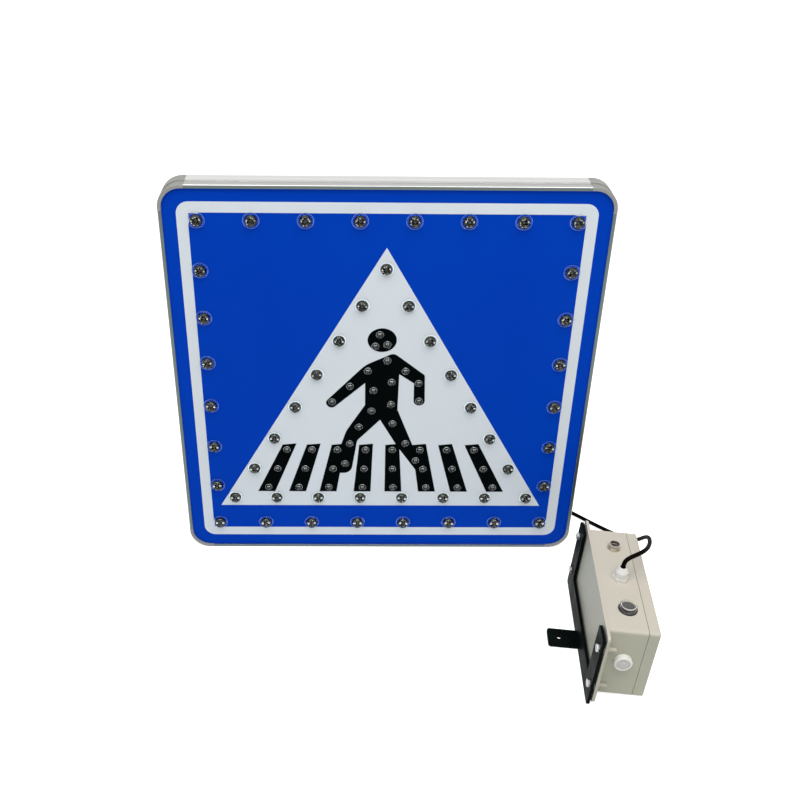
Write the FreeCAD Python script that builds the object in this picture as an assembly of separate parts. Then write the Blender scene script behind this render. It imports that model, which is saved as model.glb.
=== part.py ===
import FreeCAD, Part
import math
import os

# Illuminated pedestrian crossing sign with its control box, in millimetres.
# X runs across the face to the right, Y into the sign, Z up. The origin is the middle of the frame's
# bottom face. The control box stands on the same ground and is wired to the sign by one cable.

V = FreeCAD.Vector
UP = V(0, 0, 1)
INTO_SIGN = V(0, 1, 0)

# Frame, an aluminium profile with moulded corners
SIGN_SIZE = 600.0
DEPTH = 39.0
CORNER_R = 32.0
CORNER_ARM = 36.0
LIP_WIDTH = 5.0
LIP_THICKNESS = 3.0
BEAD_WIDTH = 4.4
EDGE_R = 1.6
RECESS_DEPTH = 1.4
RECESS_WIDTH = 13.2
WALL = 1.8
SHELF_REACH = 12.0
SHELF_THICKNESS = 1.6
REAR_LIP_WIDTH = 9.0
REAR_LIP_THICKNESS = 1.6
SLOT_PLAY = 0.1
TENON_LENGTH = 26.0
TENON_PLAY = 0.2
TENON_LEAD = 4.0

# Face sheet, its films and the back sheet
FACE_SHEET = 2.0
BACK_SHEET = 1.5
FILM = 0.3
SHEET_PLAY = 0.3
BORDER_INSET = 18.5
BORDER_WIDTH = 15.0
BORDER_R = 17.0
BORDER_ARM = 30.0
BORDER_STEP = 1.0
TRIANGLE_TOP_GAP = 48.0
TRIANGLE_BASE_GAP = 43.5
TRIANGLE_SIDE_GAP = 14.0

# The figure and the stripes are drawn for this rise of the triangle of studs, and follow it
DRAWN_RISE = 384.6

# Walking figure, as x from the centre line, height, and radius of the corner there
HEAD_CENTRE = (-3.5, 374.0)
HEAD_WIDTH = 41.0
HEAD_HEIGHT = 37.5
FIGURE = (
    (13.7, 353.4, 10.0), (58.9, 317.2, 5.0),
    (60.8, 266.2, 8.0), (44.4, 266.2, 8.0), (43.9, 303.6, 0.0),
    (22.1, 319.0, 0.0), (21.1, 258.6, 0.0),
    (45.0, 196.6, 0.0), (68.0, 150.0, 0.0), (58.0, 141.0, 0.0), (22.7, 193.5, 60.0),
    (-3.9, 241.0, 0.0), (-37.6, 204.0, 12.0), (-46.4, 144.4, 13.0),
    (-67.0, 144.4, 0.0), (-61.2, 197.0, 10.0), (-53.8, 221.0, 50.0),
    (-26.4, 266.4, 0.0), (-26.7, 304.0, 0.0),
    (-75.3, 259.4, 7.3), (-86.0, 270.0, 7.3), (-27.0, 333.4, 50.0),
)

# Crossing stripes under the figure: the x of each one's middle at its top and at its foot, and
# whether the figure stands on it
STRIPE_TOP = 197.0
STRIPE_FOOT = 109.3
STRIPE_TOP_WIDTH = 20.6
STRIPE_FOOT_WIDTH = 26.0
STRIPE_SLANT = 2.2
STRIPES = (
    (-138.4, -176.0, False), (-102.3, -128.6, False), (-65.1, -81.7, True), (-24.1, -29.2, False),
    (15.1, 18.4, True), (55.2, 70.3, True), (94.4, 119.8, False), (134.0, 175.5, False),
)

# Light-emitting studs, large in the border and triangle, small in the figure and stripes
LARGE_FLANGE = 22.6
LARGE_STUD = 17.6
LARGE_CROWN = 14.6
LARGE_HEIGHT = 6.5
LARGE_FLANGE_EDGE = 0.9
SMALL_STUD = 12.0
SMALL_CROWN = 9.6
SMALL_HEIGHT = 3.6
BORDER_STUD_INSET = 49.0
BORDER_STUDS_PER_SIDE = 8
TRIANGLE_STUD_TOP_GAP = 30.9
TRIANGLE_STUD_BASE_GAP = 16.0
TRIANGLE_STUD_SIDE_GAP = 22.8
TRIANGLE_STUDS_PER_SIDE = 7
STRIPE_STUD_HEIGHTS = (187.3, 152.3, 117.5)
FIGURE_STUDS = (
    (-7.0, 383.0), (-13.0, 364.5), (4.0, 367.0),
    (4.5, 341.0), (-23.0, 324.0), (31.0, 324.0),
    (-48.5, 298.5), (-74.5, 272.0), (50.5, 304.0), (52.0, 274.0),
    (11.5, 305.5), (-14.5, 291.5), (11.5, 267.8), (-17.0, 256.5),
    (14.5, 234.5), (-35.0, 228.5), (-48.5, 198.5), (34.5, 199.0),
    (-55.5, 162.0), (51.0, 168.0),
)

# Circuit boards behind the face and the cable connection behind the back sheet
BOARD = 1.6
BOARD_WIDTH = 14.0
FIGURE_BOARD_GAP = 17.0
TERMINAL_LENGTH = 44.0
TERMINAL_HEIGHT = 22.0
TERMINAL_DEPTH = 12.0

# Mounting rails on the back
RAIL_LENGTH = 500.0
RAIL_SPACING = 300.0
RAIL_CROWN = 32.0
RAIL_HEIGHT = 18.0
RAIL_FLANGE = 14.0
RAIL_SHEET = 2.0
RAIL_HOLE = 9.0
RAIL_HOLE_SPACING = 300.0
RIVET_SHANK = 4.8
RIVET_HEAD = 9.6
RIVET_HEAD_HEIGHT = 2.2
RIVET_TAIL = 2.0
RIVET_INSET = 20.0
RIVET_PLAY = 0.1

# Cable glands
GLAND_THREAD = 15.2
GLAND_FLATS = 19.0
GLAND_BODY_HEIGHT = 5.0
GLAND_CAP = 18.0
GLAND_CAP_STRAIGHT = 9.0
GLAND_CAP_HEIGHT = 16.5
GLAND_CAP_TOP = 10.6
GLAND_BORE = 7.8
GLAND_NUT_HEIGHT = 5.0
GLAND_TAIL = 4.0
THREAD_PLAY = 0.1
HOLE_PLAY = 0.15
SIGN_GLAND_INSET = 62.0

# Control box, described in its own frame and then set down beside the sign.
# In that frame X goes from the wall plate to the lid, Y away from the viewer, Z up.
BOX_WITHIN_SIDE = 4.9
BOX_FROM_FACE = 97.6
BOX_TURN = -4.5
BOX_LENGTH = 206.0
BOX_HEIGHT = 116.0
BOX_BASE_DEPTH = 52.0
BOX_LID_DEPTH = 15.0
BOX_WALL = 3.0
BOX_EDGE_R = 5.0
PLATE_THICKNESS = 4.0
PLATE_REACH = 19.0
PLATE_RISE = 1.5
PLATE_R = 6.0
ROOT_R = 5.0
RIB_HEIGHTS = (18.0, 84.0)
RIB_THICKNESS = 2.0
RIB_DEPTH = 15.0
RIB_REACH = 6.0
BOSS = 10.0
BOSS_INSET = 10.0
LID_SEAM = 0.5
LID_EDGE_R = 2.0
LID_TONGUE = 3.0
LID_TONGUE_WALL = 1.5
LID_PLAY = 0.3
GASKET_WIDTH = 1.4
GASKET_INSET = 0.8
LID_SCREW = 3.2
LID_SCREW_HEAD = 7.4
LID_SCREW_HEAD_HEIGHT = 2.6
LID_SCREW_GRIP = 12.0
LID_SCREW_SINK = 6.0

# Flat steel bracket behind the control box
BAR = 32.0
BAR_THICKNESS = 4.0
BAR_END_R = 4.0
BAR_INNER_R = 3.0
PAD = 14.0
PAD_HEIGHT = 2.0
BRACKET_TOP = 113.0
BRACKET_DROP = 4.0
TAB_WIDTH = 32.5
TAB_LENGTH = 41.5
TAB_FROM_FAR_END = 108.0
TAB_R = 4.0
TAB_HOLE = 6.6
TAB_HOLE_FROM_TIP = 16.0
BEND_R = 2.0
BRACKET_SCREW = 6.0
BRACKET_SCREW_FLATS = 10.0
BRACKET_SCREW_HEAD = 3.4
BRACKET_SCREW_INSET = 10.0
BRACKET_SCREW_HEIGHTS = (27.0, 92.0)
BRACKET_SCREW_GRIP = 2.0

# Fittings on the control box: distance from its far end, distance from the wall plate's front
SOCKET_Y = 40.0
SOCKET_X = 29.5
BOX_GLAND_Y = 104.8
BOX_GLAND_X = 28.5
SWITCH_FROM_NEAR_END = 42.0
SWITCH_X = 30.2
SENSOR_X = 27.5
SENSOR_Z = 64.0

SOCKET_THREAD = 15.8
SOCKET_MOUTH = 12.8
SOCKET_BORE = 12.0
SOCKET_FLANGE = 19.0
SOCKET_FLANGE_HEIGHT = 2.4
SOCKET_HEIGHT = 8.2
SOCKET_TAIL = 9.0
SOCKET_MOUTH_DEPTH = 5.0
SOCKET_CONTACT = 1.8
SOCKET_CONTACT_SPACING = 4.6
SOCKET_KEY = 1.8
SOCKET_NUT_FLATS = 20.0
SOCKET_NUT_HEIGHT = 3.0

SWITCH_RING = 25.4
SWITCH_RING_HEIGHT = 2.6
SWITCH_BARREL = 20.0
SWITCH_BARREL_LENGTH = 18.0
SWITCH_WELL = 4.0
SWITCH_BUTTON = 16.4
SWITCH_BUTTON_TOP = 5.6
SWITCH_BUTTON_FOOT = 1.5
SWITCH_BUTTON_PLAY = 0.3
SWITCH_BOOT = 22.8
SWITCH_BOOT_HEIGHT = 6.2
SWITCH_BOOT_WALL = 0.9
SWITCH_NUT_FLATS = 25.0
SWITCH_NUT_HEIGHT = 5.0

SENSOR_BEZEL = 24.4
SENSOR_HEIGHT = 7.4
SENSOR_EDGE = 1.8
SENSOR_BARREL = 18.0
SENSOR_BARREL_LENGTH = 12.0
SENSOR_LENS = 17.8
SENSOR_LENS_SINK = 2.0
SENSOR_LENS_RIM = 1.0
SENSOR_LENS_CROWN = 0.9
SENSOR_NUT_FLATS = 22.0
SENSOR_NUT_HEIGHT = 4.0

# Inside the control box
BATTERY_LENGTH = 84.0
BATTERY_HEIGHT = 58.0
BATTERY_DEPTH = 21.0
BATTERY_R = 9.0
BATTERY_END_GAP = 18.0
BATTERY_FLOOR_GAP = 8.0
STRAP_WIDTH = 16.0
STRAP_SHEET = 1.5
STRAP_FOOT = 6.0
STRAP_PLAY = 0.3
CONTROLLER_HEIGHT = 60.0
CONTROLLER_GAP = 7.0
CONTROLLER_END_GAP = 22.0
CONTROLLER_FLOOR_GAP = 12.0
POST = 8.0
POST_LENGTH = 9.0

# Cable from the sign to the control box, point by point as it lies
CABLE = 6.0
CABLE_LEAVE = 20.0
CABLE_ENTER = 8.5
CABLE_ROUTE = (
    (242.0, 81.0, 48.0), (251.0, 95.0, 24.0),
    (268.0, 99.0, 4.6), (297.0, 88.0, 3.2), (326.0, 64.0, 3.2), (353.0, 37.0, 3.2),
    (380.0, 9.0, 6.0), (395.0, -22.0, 18.0), (399.0, -55.0, 46.0), (395.4, -88.5, 79.3),
    (388.6, -123.5, 107.9), (379.3, -155.7, 125.7), (369.1, -180.5, 138.4),
    (358.4, -200.9, 149.5), (346.9, -215.9, 156.8), (336.1, -223.9, 158.7),
    (328.0, -225.5, 155.3),
)

# Derived depths, from the front of the frame to its rear
FRONT_Y = -DEPTH / 2
REAR_Y = DEPTH / 2
FACE_Y = FRONT_Y + LIP_THICKNESS
SHEET_Y = FACE_Y + FILM
SHEET_REAR_Y = SHEET_Y + FACE_SHEET
WHITE_Y = FACE_Y - FILM
BLACK_Y = WHITE_Y - FILM
SHELF_Y = SHEET_REAR_Y + SLOT_PLAY
BACK_OUTER_Y = REAR_Y - REAR_LIP_THICKNESS
BACK_INNER_Y = BACK_OUTER_Y - BACK_SHEET
REAR_SHELF_Y = BACK_INNER_Y - SLOT_PLAY
WALL_INNER = RECESS_DEPTH + WALL
CENTRE = V(0, 0, SIGN_SIZE / 2)
SWITCH_FROM_FAR_END = BOX_LENGTH - SWITCH_FROM_NEAR_END
BRACKET_FRONT_X = -PLATE_THICKNESS - PAD_HEIGHT
LID_FRONT_X = BOX_BASE_DEPTH + LID_SEAM + BOX_LID_DEPTH
BORDER_EDGE = LIP_WIDTH + BORDER_INSET
BORDER_INNER = BORDER_EDGE + BORDER_WIDTH
TRIANGLE_APEX = SIGN_SIZE - BORDER_INNER - TRIANGLE_TOP_GAP
TRIANGLE_BASE = BORDER_INNER + TRIANGLE_BASE_GAP
TRIANGLE_HALF = SIGN_SIZE / 2 - BORDER_INNER - TRIANGLE_SIDE_GAP
TRIANGLE_STUD_APEX = TRIANGLE_APEX - TRIANGLE_STUD_TOP_GAP
TRIANGLE_STUD_BASE = TRIANGLE_BASE + TRIANGLE_STUD_BASE_GAP
TRIANGLE_STUD_HALF = TRIANGLE_HALF - TRIANGLE_STUD_SIDE_GAP
SIGN_GLAND_X = SIGN_SIZE / 2 - SIGN_GLAND_INSET
SIGN_GLAND_Z = SIGN_GLAND_INSET
DRAWING_FOOT = TRIANGLE_STUD_BASE + LARGE_FLANGE / 2
DRAWING_SCALE = (TRIANGLE_STUD_APEX - TRIANGLE_STUD_BASE) / DRAWN_RISE

# The bracket hangs below the box, so the box leans until the rounded edge of its lid is on the ground
STANCE = LID_FRONT_X - LID_EDGE_R - BRACKET_FRONT_X
BOX_LEAN = math.degrees(math.atan2(BRACKET_DROP + LID_EDGE_R, STANCE)
                        - math.asin(LID_EDGE_R / math.hypot(STANCE, BRACKET_DROP + LID_EDGE_R)))
BOX_AXES = FreeCAD.Rotation(UP, BOX_TURN).multiply(FreeCAD.Rotation(INTO_SIGN, BOX_LEAN))
BOX_UP = BOX_AXES.multVec(UP)
BOX_LIFT = -BOX_AXES.multVec(V(BRACKET_FRONT_X, 0, -BRACKET_DROP)).z
BOX_CORNER = V(SIGN_SIZE / 2 - BOX_WITHIN_SIDE, FRONT_Y - BOX_FROM_FACE, BOX_LIFT)


def save(name, *solids):
    """Write one node, as a single solid or as a group of separate ones."""
    shape = solids[0] if len(solids) == 1 else Part.makeCompound(list(solids))
    shape.exportStep("parts/" + name + ".step")


def unit(du, dv):
    length = math.hypot(du, dv)
    return du / length, dv / length


def outline(corners, place):
    """Closed wire through (u, v, radius) corners, each rounded by its own radius."""
    spans = []
    for i, (u, v, radius) in enumerate(corners):
        before = corners[i - 1]
        after = corners[(i + 1) % len(corners)]
        iu, iv = unit(before[0] - u, before[1] - v)
        ou, ov = unit(after[0] - u, after[1] - v)
        if radius == 0:
            spans.append(((u, v), None, (u, v)))
            continue
        half = math.acos(max(-1.0, min(1.0, iu * ou + iv * ov))) / 2
        reach = radius / math.tan(half)
        bu, bv = unit(iu + ou, iv + ov)
        middle = radius / math.sin(half) - radius
        spans.append(((u + iu * reach, v + iv * reach),
                      (u + bu * middle, v + bv * middle),
                      (u + ou * reach, v + ov * reach)))
    edges = []
    for i, (start, middle, end) in enumerate(spans):
        if middle:
            edges.append(Part.Arc(place(*start), place(*middle), place(*end)).toShape())
        onward = spans[(i + 1) % len(spans)][0]
        if math.hypot(onward[0] - end[0], onward[1] - end[1]) > 1e-6:
            edges.append(Part.LineSegment(place(*end), place(*onward)).toShape())
    return Part.Wire(edges)


def prism(corners, place, along):
    return Part.Face(outline(corners, place)).extrude(along)


def upright_plate(corners, y_front, y_rear):
    """Flat piece parallel to the face of the sign, from outline corners (x, z, radius)."""
    return prism(corners, lambda x, z: V(x, y_front, z), INTO_SIGN * (y_rear - y_front))


def side_plate(corners, x_start, x_end):
    """Flat piece across X, from outline corners (y, z, radius)."""
    return prism(corners, lambda y, z: V(x_start, y, z), V(x_end - x_start, 0, 0))


def rectangle(u0, u1, v0, v1, radius=0.0):
    return ((u0, v0, radius), (u1, v0, radius), (u1, v1, radius), (u0, v1, radius))


def sheet_outline(inset, radius):
    half = SIGN_SIZE / 2 - inset
    middle = SIGN_SIZE / 2
    return rectangle(-half, half, middle - half, middle + half, radius)


def block(x0, x1, y0, y1, z0, z1):
    return Part.makeBox(x1 - x0, y1 - y0, z1 - z0, V(x0, y0, z0))


def rod(diameter, start, end):
    axis = end - start
    return Part.makeCylinder(diameter / 2, axis.Length, start, axis)


def turned(profile):
    """Solid of revolution about Z from (radius, height) points."""
    wire = Part.makePolygon([V(r, 0, z) for r, z in profile + profile[:1]])
    return Part.Face(wire).revolve(V(0, 0, 0), UP, 360)


def hexagon_prism(flats, z0, z1):
    radius = flats / math.sqrt(3)
    corners = [(radius * math.cos(math.radians(60 * k)), radius * math.sin(math.radians(60 * k)), 0)
               for k in range(6)]
    return prism(corners, lambda u, v: V(u, v, z0), UP * (z1 - z0))


def quarter_turned(shape, quarters):
    """The same piece on another side of the square sign: bottom, left, top, right."""
    copy = shape.copy()
    copy.rotate(CENTRE, INTO_SIGN, 90 * quarters)
    return copy


# Sign frame


def section_front():
    """Outside of the profile, as (distance in from the outer side, y), rear to front slot."""
    bead_y = FRONT_Y + BEAD_WIDTH
    band_y = bead_y + RECESS_WIDTH
    return [
        (LIP_WIDTH, FACE_Y, 0), (LIP_WIDTH, FRONT_Y, 0), (0, FRONT_Y, EDGE_R),
        (0, bead_y, 0), (RECESS_DEPTH, bead_y, 0), (RECESS_DEPTH, band_y, 0), (0, band_y, 0),
        (0, REAR_Y, EDGE_R), (REAR_LIP_WIDTH, REAR_Y, 0), (REAR_LIP_WIDTH, BACK_OUTER_Y, 0),
        (WALL_INNER, BACK_OUTER_Y, 0), (WALL_INNER, REAR_SHELF_Y, 0), (SHELF_REACH, REAR_SHELF_Y, 0),
    ]


def section_end():
    return [(SHELF_REACH, SHELF_Y, 0), (WALL_INNER, SHELF_Y, 0), (WALL_INNER, FACE_Y, 0)]


def profile_section():
    """The extrusion, with its hollow between the two shelves."""
    hollow_rear = REAR_SHELF_Y - SHELF_THICKNESS
    hollow_front = SHELF_Y + SHELF_THICKNESS
    hollow = [(SHELF_REACH, hollow_rear, 0), (WALL_INNER, hollow_rear, 0),
              (WALL_INNER, hollow_front, 0), (SHELF_REACH, hollow_front, 0)]
    return section_front() + hollow + section_end()


def frame_bar():
    half = SIGN_SIZE / 2 - CORNER_ARM
    return prism(profile_section(), lambda w, y: V(-half, y, w), V(2 * half, 0, 0))


def tenon():
    """Tongue of a corner piece, which is driven into the hollow of the profile beside it."""
    front = SHELF_Y + SHELF_THICKNESS + TENON_PLAY
    rear = REAR_SHELF_Y - SHELF_THICKNESS - TENON_PLAY
    root = -(SIGN_SIZE / 2 - CORNER_ARM)
    tip = root + TENON_LENGTH
    corners = ((root, front, 0), (tip - TENON_LEAD, front, 0), (tip, front + TENON_LEAD, 0),
               (tip, rear - TENON_LEAD, 0), (tip - TENON_LEAD, rear, 0), (root, rear, 0))
    low = WALL_INNER + TENON_PLAY
    return prism(corners, lambda x, y: V(x, y, low), UP * (SHELF_REACH - low))


def corner_piece():
    """Moulded corner: the profile's outside swept round the corner, with two tenons."""
    centre = V(-(SIGN_SIZE / 2 - CORNER_R), 0, CORNER_R)
    section = section_front() + section_end()
    stub = CORNER_ARM - CORNER_R
    face = Part.Face(outline(section, lambda w, y: V(centre.x, y, w)))
    bend = face.revolve(centre, INTO_SIGN, 90)
    arm = face.extrude(V(stub, 0, 0)).fuse(tenon())
    other = arm.mirror(V(0, 0, 0), V(1, 0, 0))
    other = quarter_turned(other, 1)
    return bend.fuse([arm, other]).removeSplitter()


# Sign face


def face_outline(extra=0.0):
    inset = WALL_INNER + SHEET_PLAY + extra
    return sheet_outline(inset, CORNER_R - inset)


def border_strip():
    low = BORDER_EDGE
    half = SIGN_SIZE / 2 - BORDER_EDGE - BORDER_ARM
    return upright_plate(rectangle(-half, half, low, low + BORDER_WIDTH), WHITE_Y, FACE_Y)


def border_corner():
    """Rounded corner of the white border, cut a little wider than the strips it joins."""
    left = -(SIGN_SIZE / 2 - BORDER_EDGE)
    low = BORDER_EDGE
    width = BORDER_WIDTH + BORDER_STEP
    corners = ((left, low, BORDER_R), (left + BORDER_ARM, low, 0), (left + BORDER_ARM, low + width, 0),
               (left + width, low + width, 0), (left + width, low + BORDER_ARM, 0),
               (left, low + BORDER_ARM, 0))
    return upright_plate(corners, WHITE_Y, FACE_Y)


def white_triangle():
    corners = ((-TRIANGLE_HALF, TRIANGLE_BASE, 0), (TRIANGLE_HALF, TRIANGLE_BASE, 0),
               (0, TRIANGLE_APEX, 0))
    return upright_plate(corners, WHITE_Y, FACE_Y)


def drawn(x, z):
    """Place on the sign of a drawn point; the stripes' feet stand on the lowest row of studs."""
    return x * DRAWING_SCALE, DRAWING_FOOT + (z - STRIPE_FOOT) * DRAWING_SCALE


def drawn_film(corners):
    placed = [(*drawn(x, z), radius * DRAWING_SCALE) for x, z, radius in corners]
    return upright_plate(placed, BLACK_Y, WHITE_Y)


def stripe(top_x, foot_x):
    top = STRIPE_TOP_WIDTH / 2
    foot = STRIPE_FOOT_WIDTH / 2
    slant = STRIPE_SLANT / 2
    return drawn_film(((top_x - top, STRIPE_TOP - slant, 0), (top_x + top, STRIPE_TOP + slant, 0),
                       (foot_x + foot, STRIPE_FOOT, 0), (foot_x - foot, STRIPE_FOOT, 0)))


def stripes(walked_on):
    return [stripe(top_x, foot_x) for top_x, foot_x, under_foot in STRIPES if under_foot == walked_on]


def head():
    x, z = drawn(*HEAD_CENTRE)
    centre = V(x, BLACK_Y, z)
    shape = Part.Ellipse(centre, HEAD_WIDTH / 2 * DRAWING_SCALE, HEAD_HEIGHT / 2 * DRAWING_SCALE).toShape()
    shape.rotate(centre, V(1, 0, 0), 90)
    return Part.Face(Part.Wire(shape)).extrude(INTO_SIGN * FILM)


def figure_and_feet():
    """Body, arms and legs, in one with the stripes that the feet stand on."""
    return drawn_film(FIGURE).fuse(stripes(True)).removeSplitter()


def large_stud():
    flange = LARGE_FLANGE / 2
    body = LARGE_STUD / 2
    return turned([(0, 0), (flange, 0), (body, LARGE_FLANGE_EDGE), (LARGE_CROWN / 2, LARGE_HEIGHT),
                   (0, LARGE_HEIGHT)])


def small_stud():
    return turned([(0, 0), (SMALL_STUD / 2, 0), (SMALL_CROWN / 2, SMALL_HEIGHT), (0, SMALL_HEIGHT)])


def studs(kind, places, y):
    """Copies of a stud standing out of the face at each (x, z)."""
    master = kind()
    master.rotate(V(0, 0, 0), V(1, 0, 0), 90)
    solids = []
    for x, z in places:
        copy = master.copy()
        copy.translate(V(x, y, z))
        solids.append(copy)
    return solids


def border_stud_places():
    half = SIGN_SIZE / 2 - BORDER_STUD_INSET
    gap = 2 * half / (BORDER_STUDS_PER_SIDE - 1)
    places = []
    for k in range(BORDER_STUDS_PER_SIDE - 1):
        step = -half + gap * k
        places += [(step, SIGN_SIZE / 2 + half), (half, SIGN_SIZE / 2 - step),
                   (-step, SIGN_SIZE / 2 - half), (-half, SIGN_SIZE / 2 + step)]
    return places


def triangle_stud_places():
    apex = (0.0, TRIANGLE_STUD_APEX)
    left = (-TRIANGLE_STUD_HALF, TRIANGLE_STUD_BASE)
    right = (TRIANGLE_STUD_HALF, TRIANGLE_STUD_BASE)
    places = []
    for start, end in ((apex, right), (right, left), (left, apex)):
        for k in range(TRIANGLE_STUDS_PER_SIDE):
            share = k / TRIANGLE_STUDS_PER_SIDE
            places.append((start[0] + (end[0] - start[0]) * share, start[1] + (end[1] - start[1]) * share))
    return places


def stripe_stud_places():
    """Three studs down the middle of each stripe."""
    places = []
    for top_x, foot_x, _ in STRIPES:
        for height in STRIPE_STUD_HEIGHTS:
            share = (STRIPE_TOP - height) / (STRIPE_TOP - STRIPE_FOOT)
            places.append(drawn(top_x + (foot_x - top_x) * share, height))
    return places


# Boards inside the sign


def border_boards():
    """Four strips behind the border studs, two long ones with two shorter ones between them."""
    rear = SHEET_REAR_Y + BOARD
    edge = BOARD_WIDTH / 2
    half = SIGN_SIZE / 2 - BORDER_STUD_INSET
    low = BORDER_STUD_INSET
    long_strip = upright_plate(rectangle(-half - edge, half + edge, low - edge, low + edge),
                               SHEET_REAR_Y, rear)
    short_strip = upright_plate(rectangle(-half + edge, half - edge, low - edge, low + edge),
                                SHEET_REAR_Y, rear)
    return [long_strip, quarter_turned(short_strip, 1), quarter_turned(long_strip, 2),
            quarter_turned(short_strip, 3)]


def triangle_at(offset):
    """Corners of the triangle of studs, moved out square to its sides by an offset."""
    rise = TRIANGLE_STUD_APEX - TRIANGLE_STUD_BASE
    slope = math.hypot(rise, TRIANGLE_STUD_HALF)
    apex = TRIANGLE_STUD_APEX + offset * slope / TRIANGLE_STUD_HALF
    base = TRIANGLE_STUD_BASE - offset
    half = TRIANGLE_STUD_HALF * (apex - base) / rise
    return ((-half, base, 0), (half, base, 0), (0, apex, 0))


def triangle_board():
    edge = BOARD_WIDTH / 2
    rear = SHEET_REAR_Y + BOARD
    whole = upright_plate(triangle_at(edge), SHEET_REAR_Y, rear)
    return whole.cut(upright_plate(triangle_at(-edge), SHEET_REAR_Y, rear))


def figure_board():
    """One board behind the figure and the stripes, inside the triangle's board."""
    inner = triangle_at(-BOARD_WIDTH / 2 - FIGURE_BOARD_GAP)
    low = inner[0][1]
    apex = inner[2][1]
    top = drawn(*HEAD_CENTRE)[1] + HEAD_HEIGHT / 2 * DRAWING_SCALE
    half_low = inner[1][0]
    half_top = half_low * (apex - top) / (apex - low)
    corners = ((-half_low, low, 0), (half_low, low, 0), (half_top, top, 0), (-half_top, top, 0))
    return upright_plate(corners, SHEET_REAR_Y, SHEET_REAR_Y + BOARD)


def terminal_block():
    """Screw terminals on the inside of the back sheet, over the cable gland."""
    low = SIGN_GLAND_Z + GLAND_FLATS
    front = BACK_INNER_Y - TERMINAL_DEPTH
    body = block(SIGN_GLAND_X - TERMINAL_LENGTH / 2, SIGN_GLAND_X + TERMINAL_LENGTH / 2,
                 front, BACK_INNER_Y, low, low + TERMINAL_HEIGHT)
    step = TERMINAL_DEPTH / 3
    return body.cut(block(SIGN_GLAND_X - TERMINAL_LENGTH / 2, SIGN_GLAND_X + TERMINAL_LENGTH / 2,
                          front, front + step, low, low + TERMINAL_HEIGHT / 3))


# Back of the sign


def rail_heights():
    return (SIGN_SIZE / 2 - RAIL_SPACING / 2, SIGN_SIZE / 2 + RAIL_SPACING / 2)


def rivet_places():
    offset_x = RAIL_LENGTH / 2 - RIVET_INSET
    offset_z = RAIL_CROWN / 2 + RAIL_FLANGE / 2
    return [(sx * offset_x, z + sz * offset_z)
            for z in rail_heights() for sx in (-1, 1) for sz in (-1, 1)]


def drill_y(shape, diameter, places, y0, y1):
    holes = [rod(diameter, V(x, y0, z), V(x, y1, z)) for x, z in places]
    return shape.cut(holes)


def back_sheet():
    sheet = upright_plate(face_outline(), BACK_INNER_Y, BACK_OUTER_Y)
    sheet = drill_y(sheet, RIVET_SHANK + 2 * RIVET_PLAY, rivet_places(), BACK_INNER_Y, BACK_OUTER_Y)
    return drill_y(sheet, GLAND_THREAD + 2 * HOLE_PLAY, [(SIGN_GLAND_X, SIGN_GLAND_Z)],
                   BACK_INNER_Y, BACK_OUTER_Y)


def rail(height):
    """Hat-shaped rail: two flanges on the back sheet and a crown that stands off it."""
    crown = RAIL_CROWN / 2
    foot = crown + RAIL_FLANGE
    inside = crown - RAIL_SHEET
    top = RAIL_HEIGHT
    low = top - RAIL_SHEET
    section = ((-foot, 0, 0), (-inside, 0, 0), (-inside, low, 0), (inside, low, 0), (inside, 0, 0),
               (foot, 0, 0), (foot, RAIL_SHEET, 0), (crown, RAIL_SHEET, 0), (crown, top, 0),
               (-crown, top, 0), (-crown, RAIL_SHEET, 0), (-foot, RAIL_SHEET, 0))
    half = RAIL_LENGTH / 2
    shape = prism(section, lambda w, v: V(-half, BACK_OUTER_Y + v, height + w), V(RAIL_LENGTH, 0, 0))
    rivets = [place for place in rivet_places() if abs(place[1] - height) < foot]
    shape = drill_y(shape, RIVET_SHANK + 2 * RIVET_PLAY, rivets, BACK_OUTER_Y, BACK_OUTER_Y + RAIL_SHEET)
    offset = RAIL_HOLE_SPACING / 2
    return drill_y(shape, RAIL_HOLE, [(-offset, height), (offset, height)],
                   BACK_OUTER_Y + low, BACK_OUTER_Y + top)


def rivets():
    shank = RIVET_SHANK / 2
    head_r = RIVET_HEAD / 2
    tail = -(RAIL_SHEET + BACK_SHEET + RIVET_TAIL)
    master = turned([(0, tail), (shank, tail), (shank, 0), (head_r, 0),
                     (head_r * 0.7, RIVET_HEAD_HEIGHT), (0, RIVET_HEAD_HEIGHT)])
    master.rotate(V(0, 0, 0), V(1, 0, 0), -90)
    solids = []
    for x, z in rivet_places():
        copy = master.copy()
        copy.translate(V(x, BACK_OUTER_Y + RAIL_SHEET, z))
        solids.append(copy)
    return solids


# Cable glands, built along Z on a wall whose outside is at height 0


def gland_pieces(wall):
    """Threaded body, domed cap, rubber seal and the lock nut behind a wall of the given thickness."""
    thread = GLAND_THREAD / 2
    tail = -(wall + GLAND_NUT_HEIGHT + GLAND_TAIL)
    body = hexagon_prism(GLAND_FLATS, 0, GLAND_BODY_HEIGHT)
    body = body.fuse(rod(GLAND_THREAD, V(0, 0, tail), V(0, 0, 0))).removeSplitter()
    bore = GLAND_BORE / 2
    seat = GLAND_BODY_HEIGHT
    top = seat + GLAND_CAP_HEIGHT
    cap = turned([(bore, seat), (GLAND_CAP / 2, seat), (GLAND_CAP / 2, seat + GLAND_CAP_STRAIGHT),
                  (GLAND_CAP_TOP / 2, top), (bore, top)])
    seal = rod(GLAND_BORE - 2 * THREAD_PLAY, V(0, 0, seat), V(0, 0, top))
    nut = hexagon_prism(GLAND_FLATS, -(wall + GLAND_NUT_HEIGHT), -wall)
    nut = nut.cut(rod(2 * (thread + THREAD_PLAY), V(0, 0, tail), V(0, 0, 0)))
    return {"body": body, "cap": cap, "seal": seal, "nut": nut}


def save_gland(prefix, wall, place):
    for name, shape in gland_pieces(wall).items():
        save(prefix + "_gland_" + name, place(shape))


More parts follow.
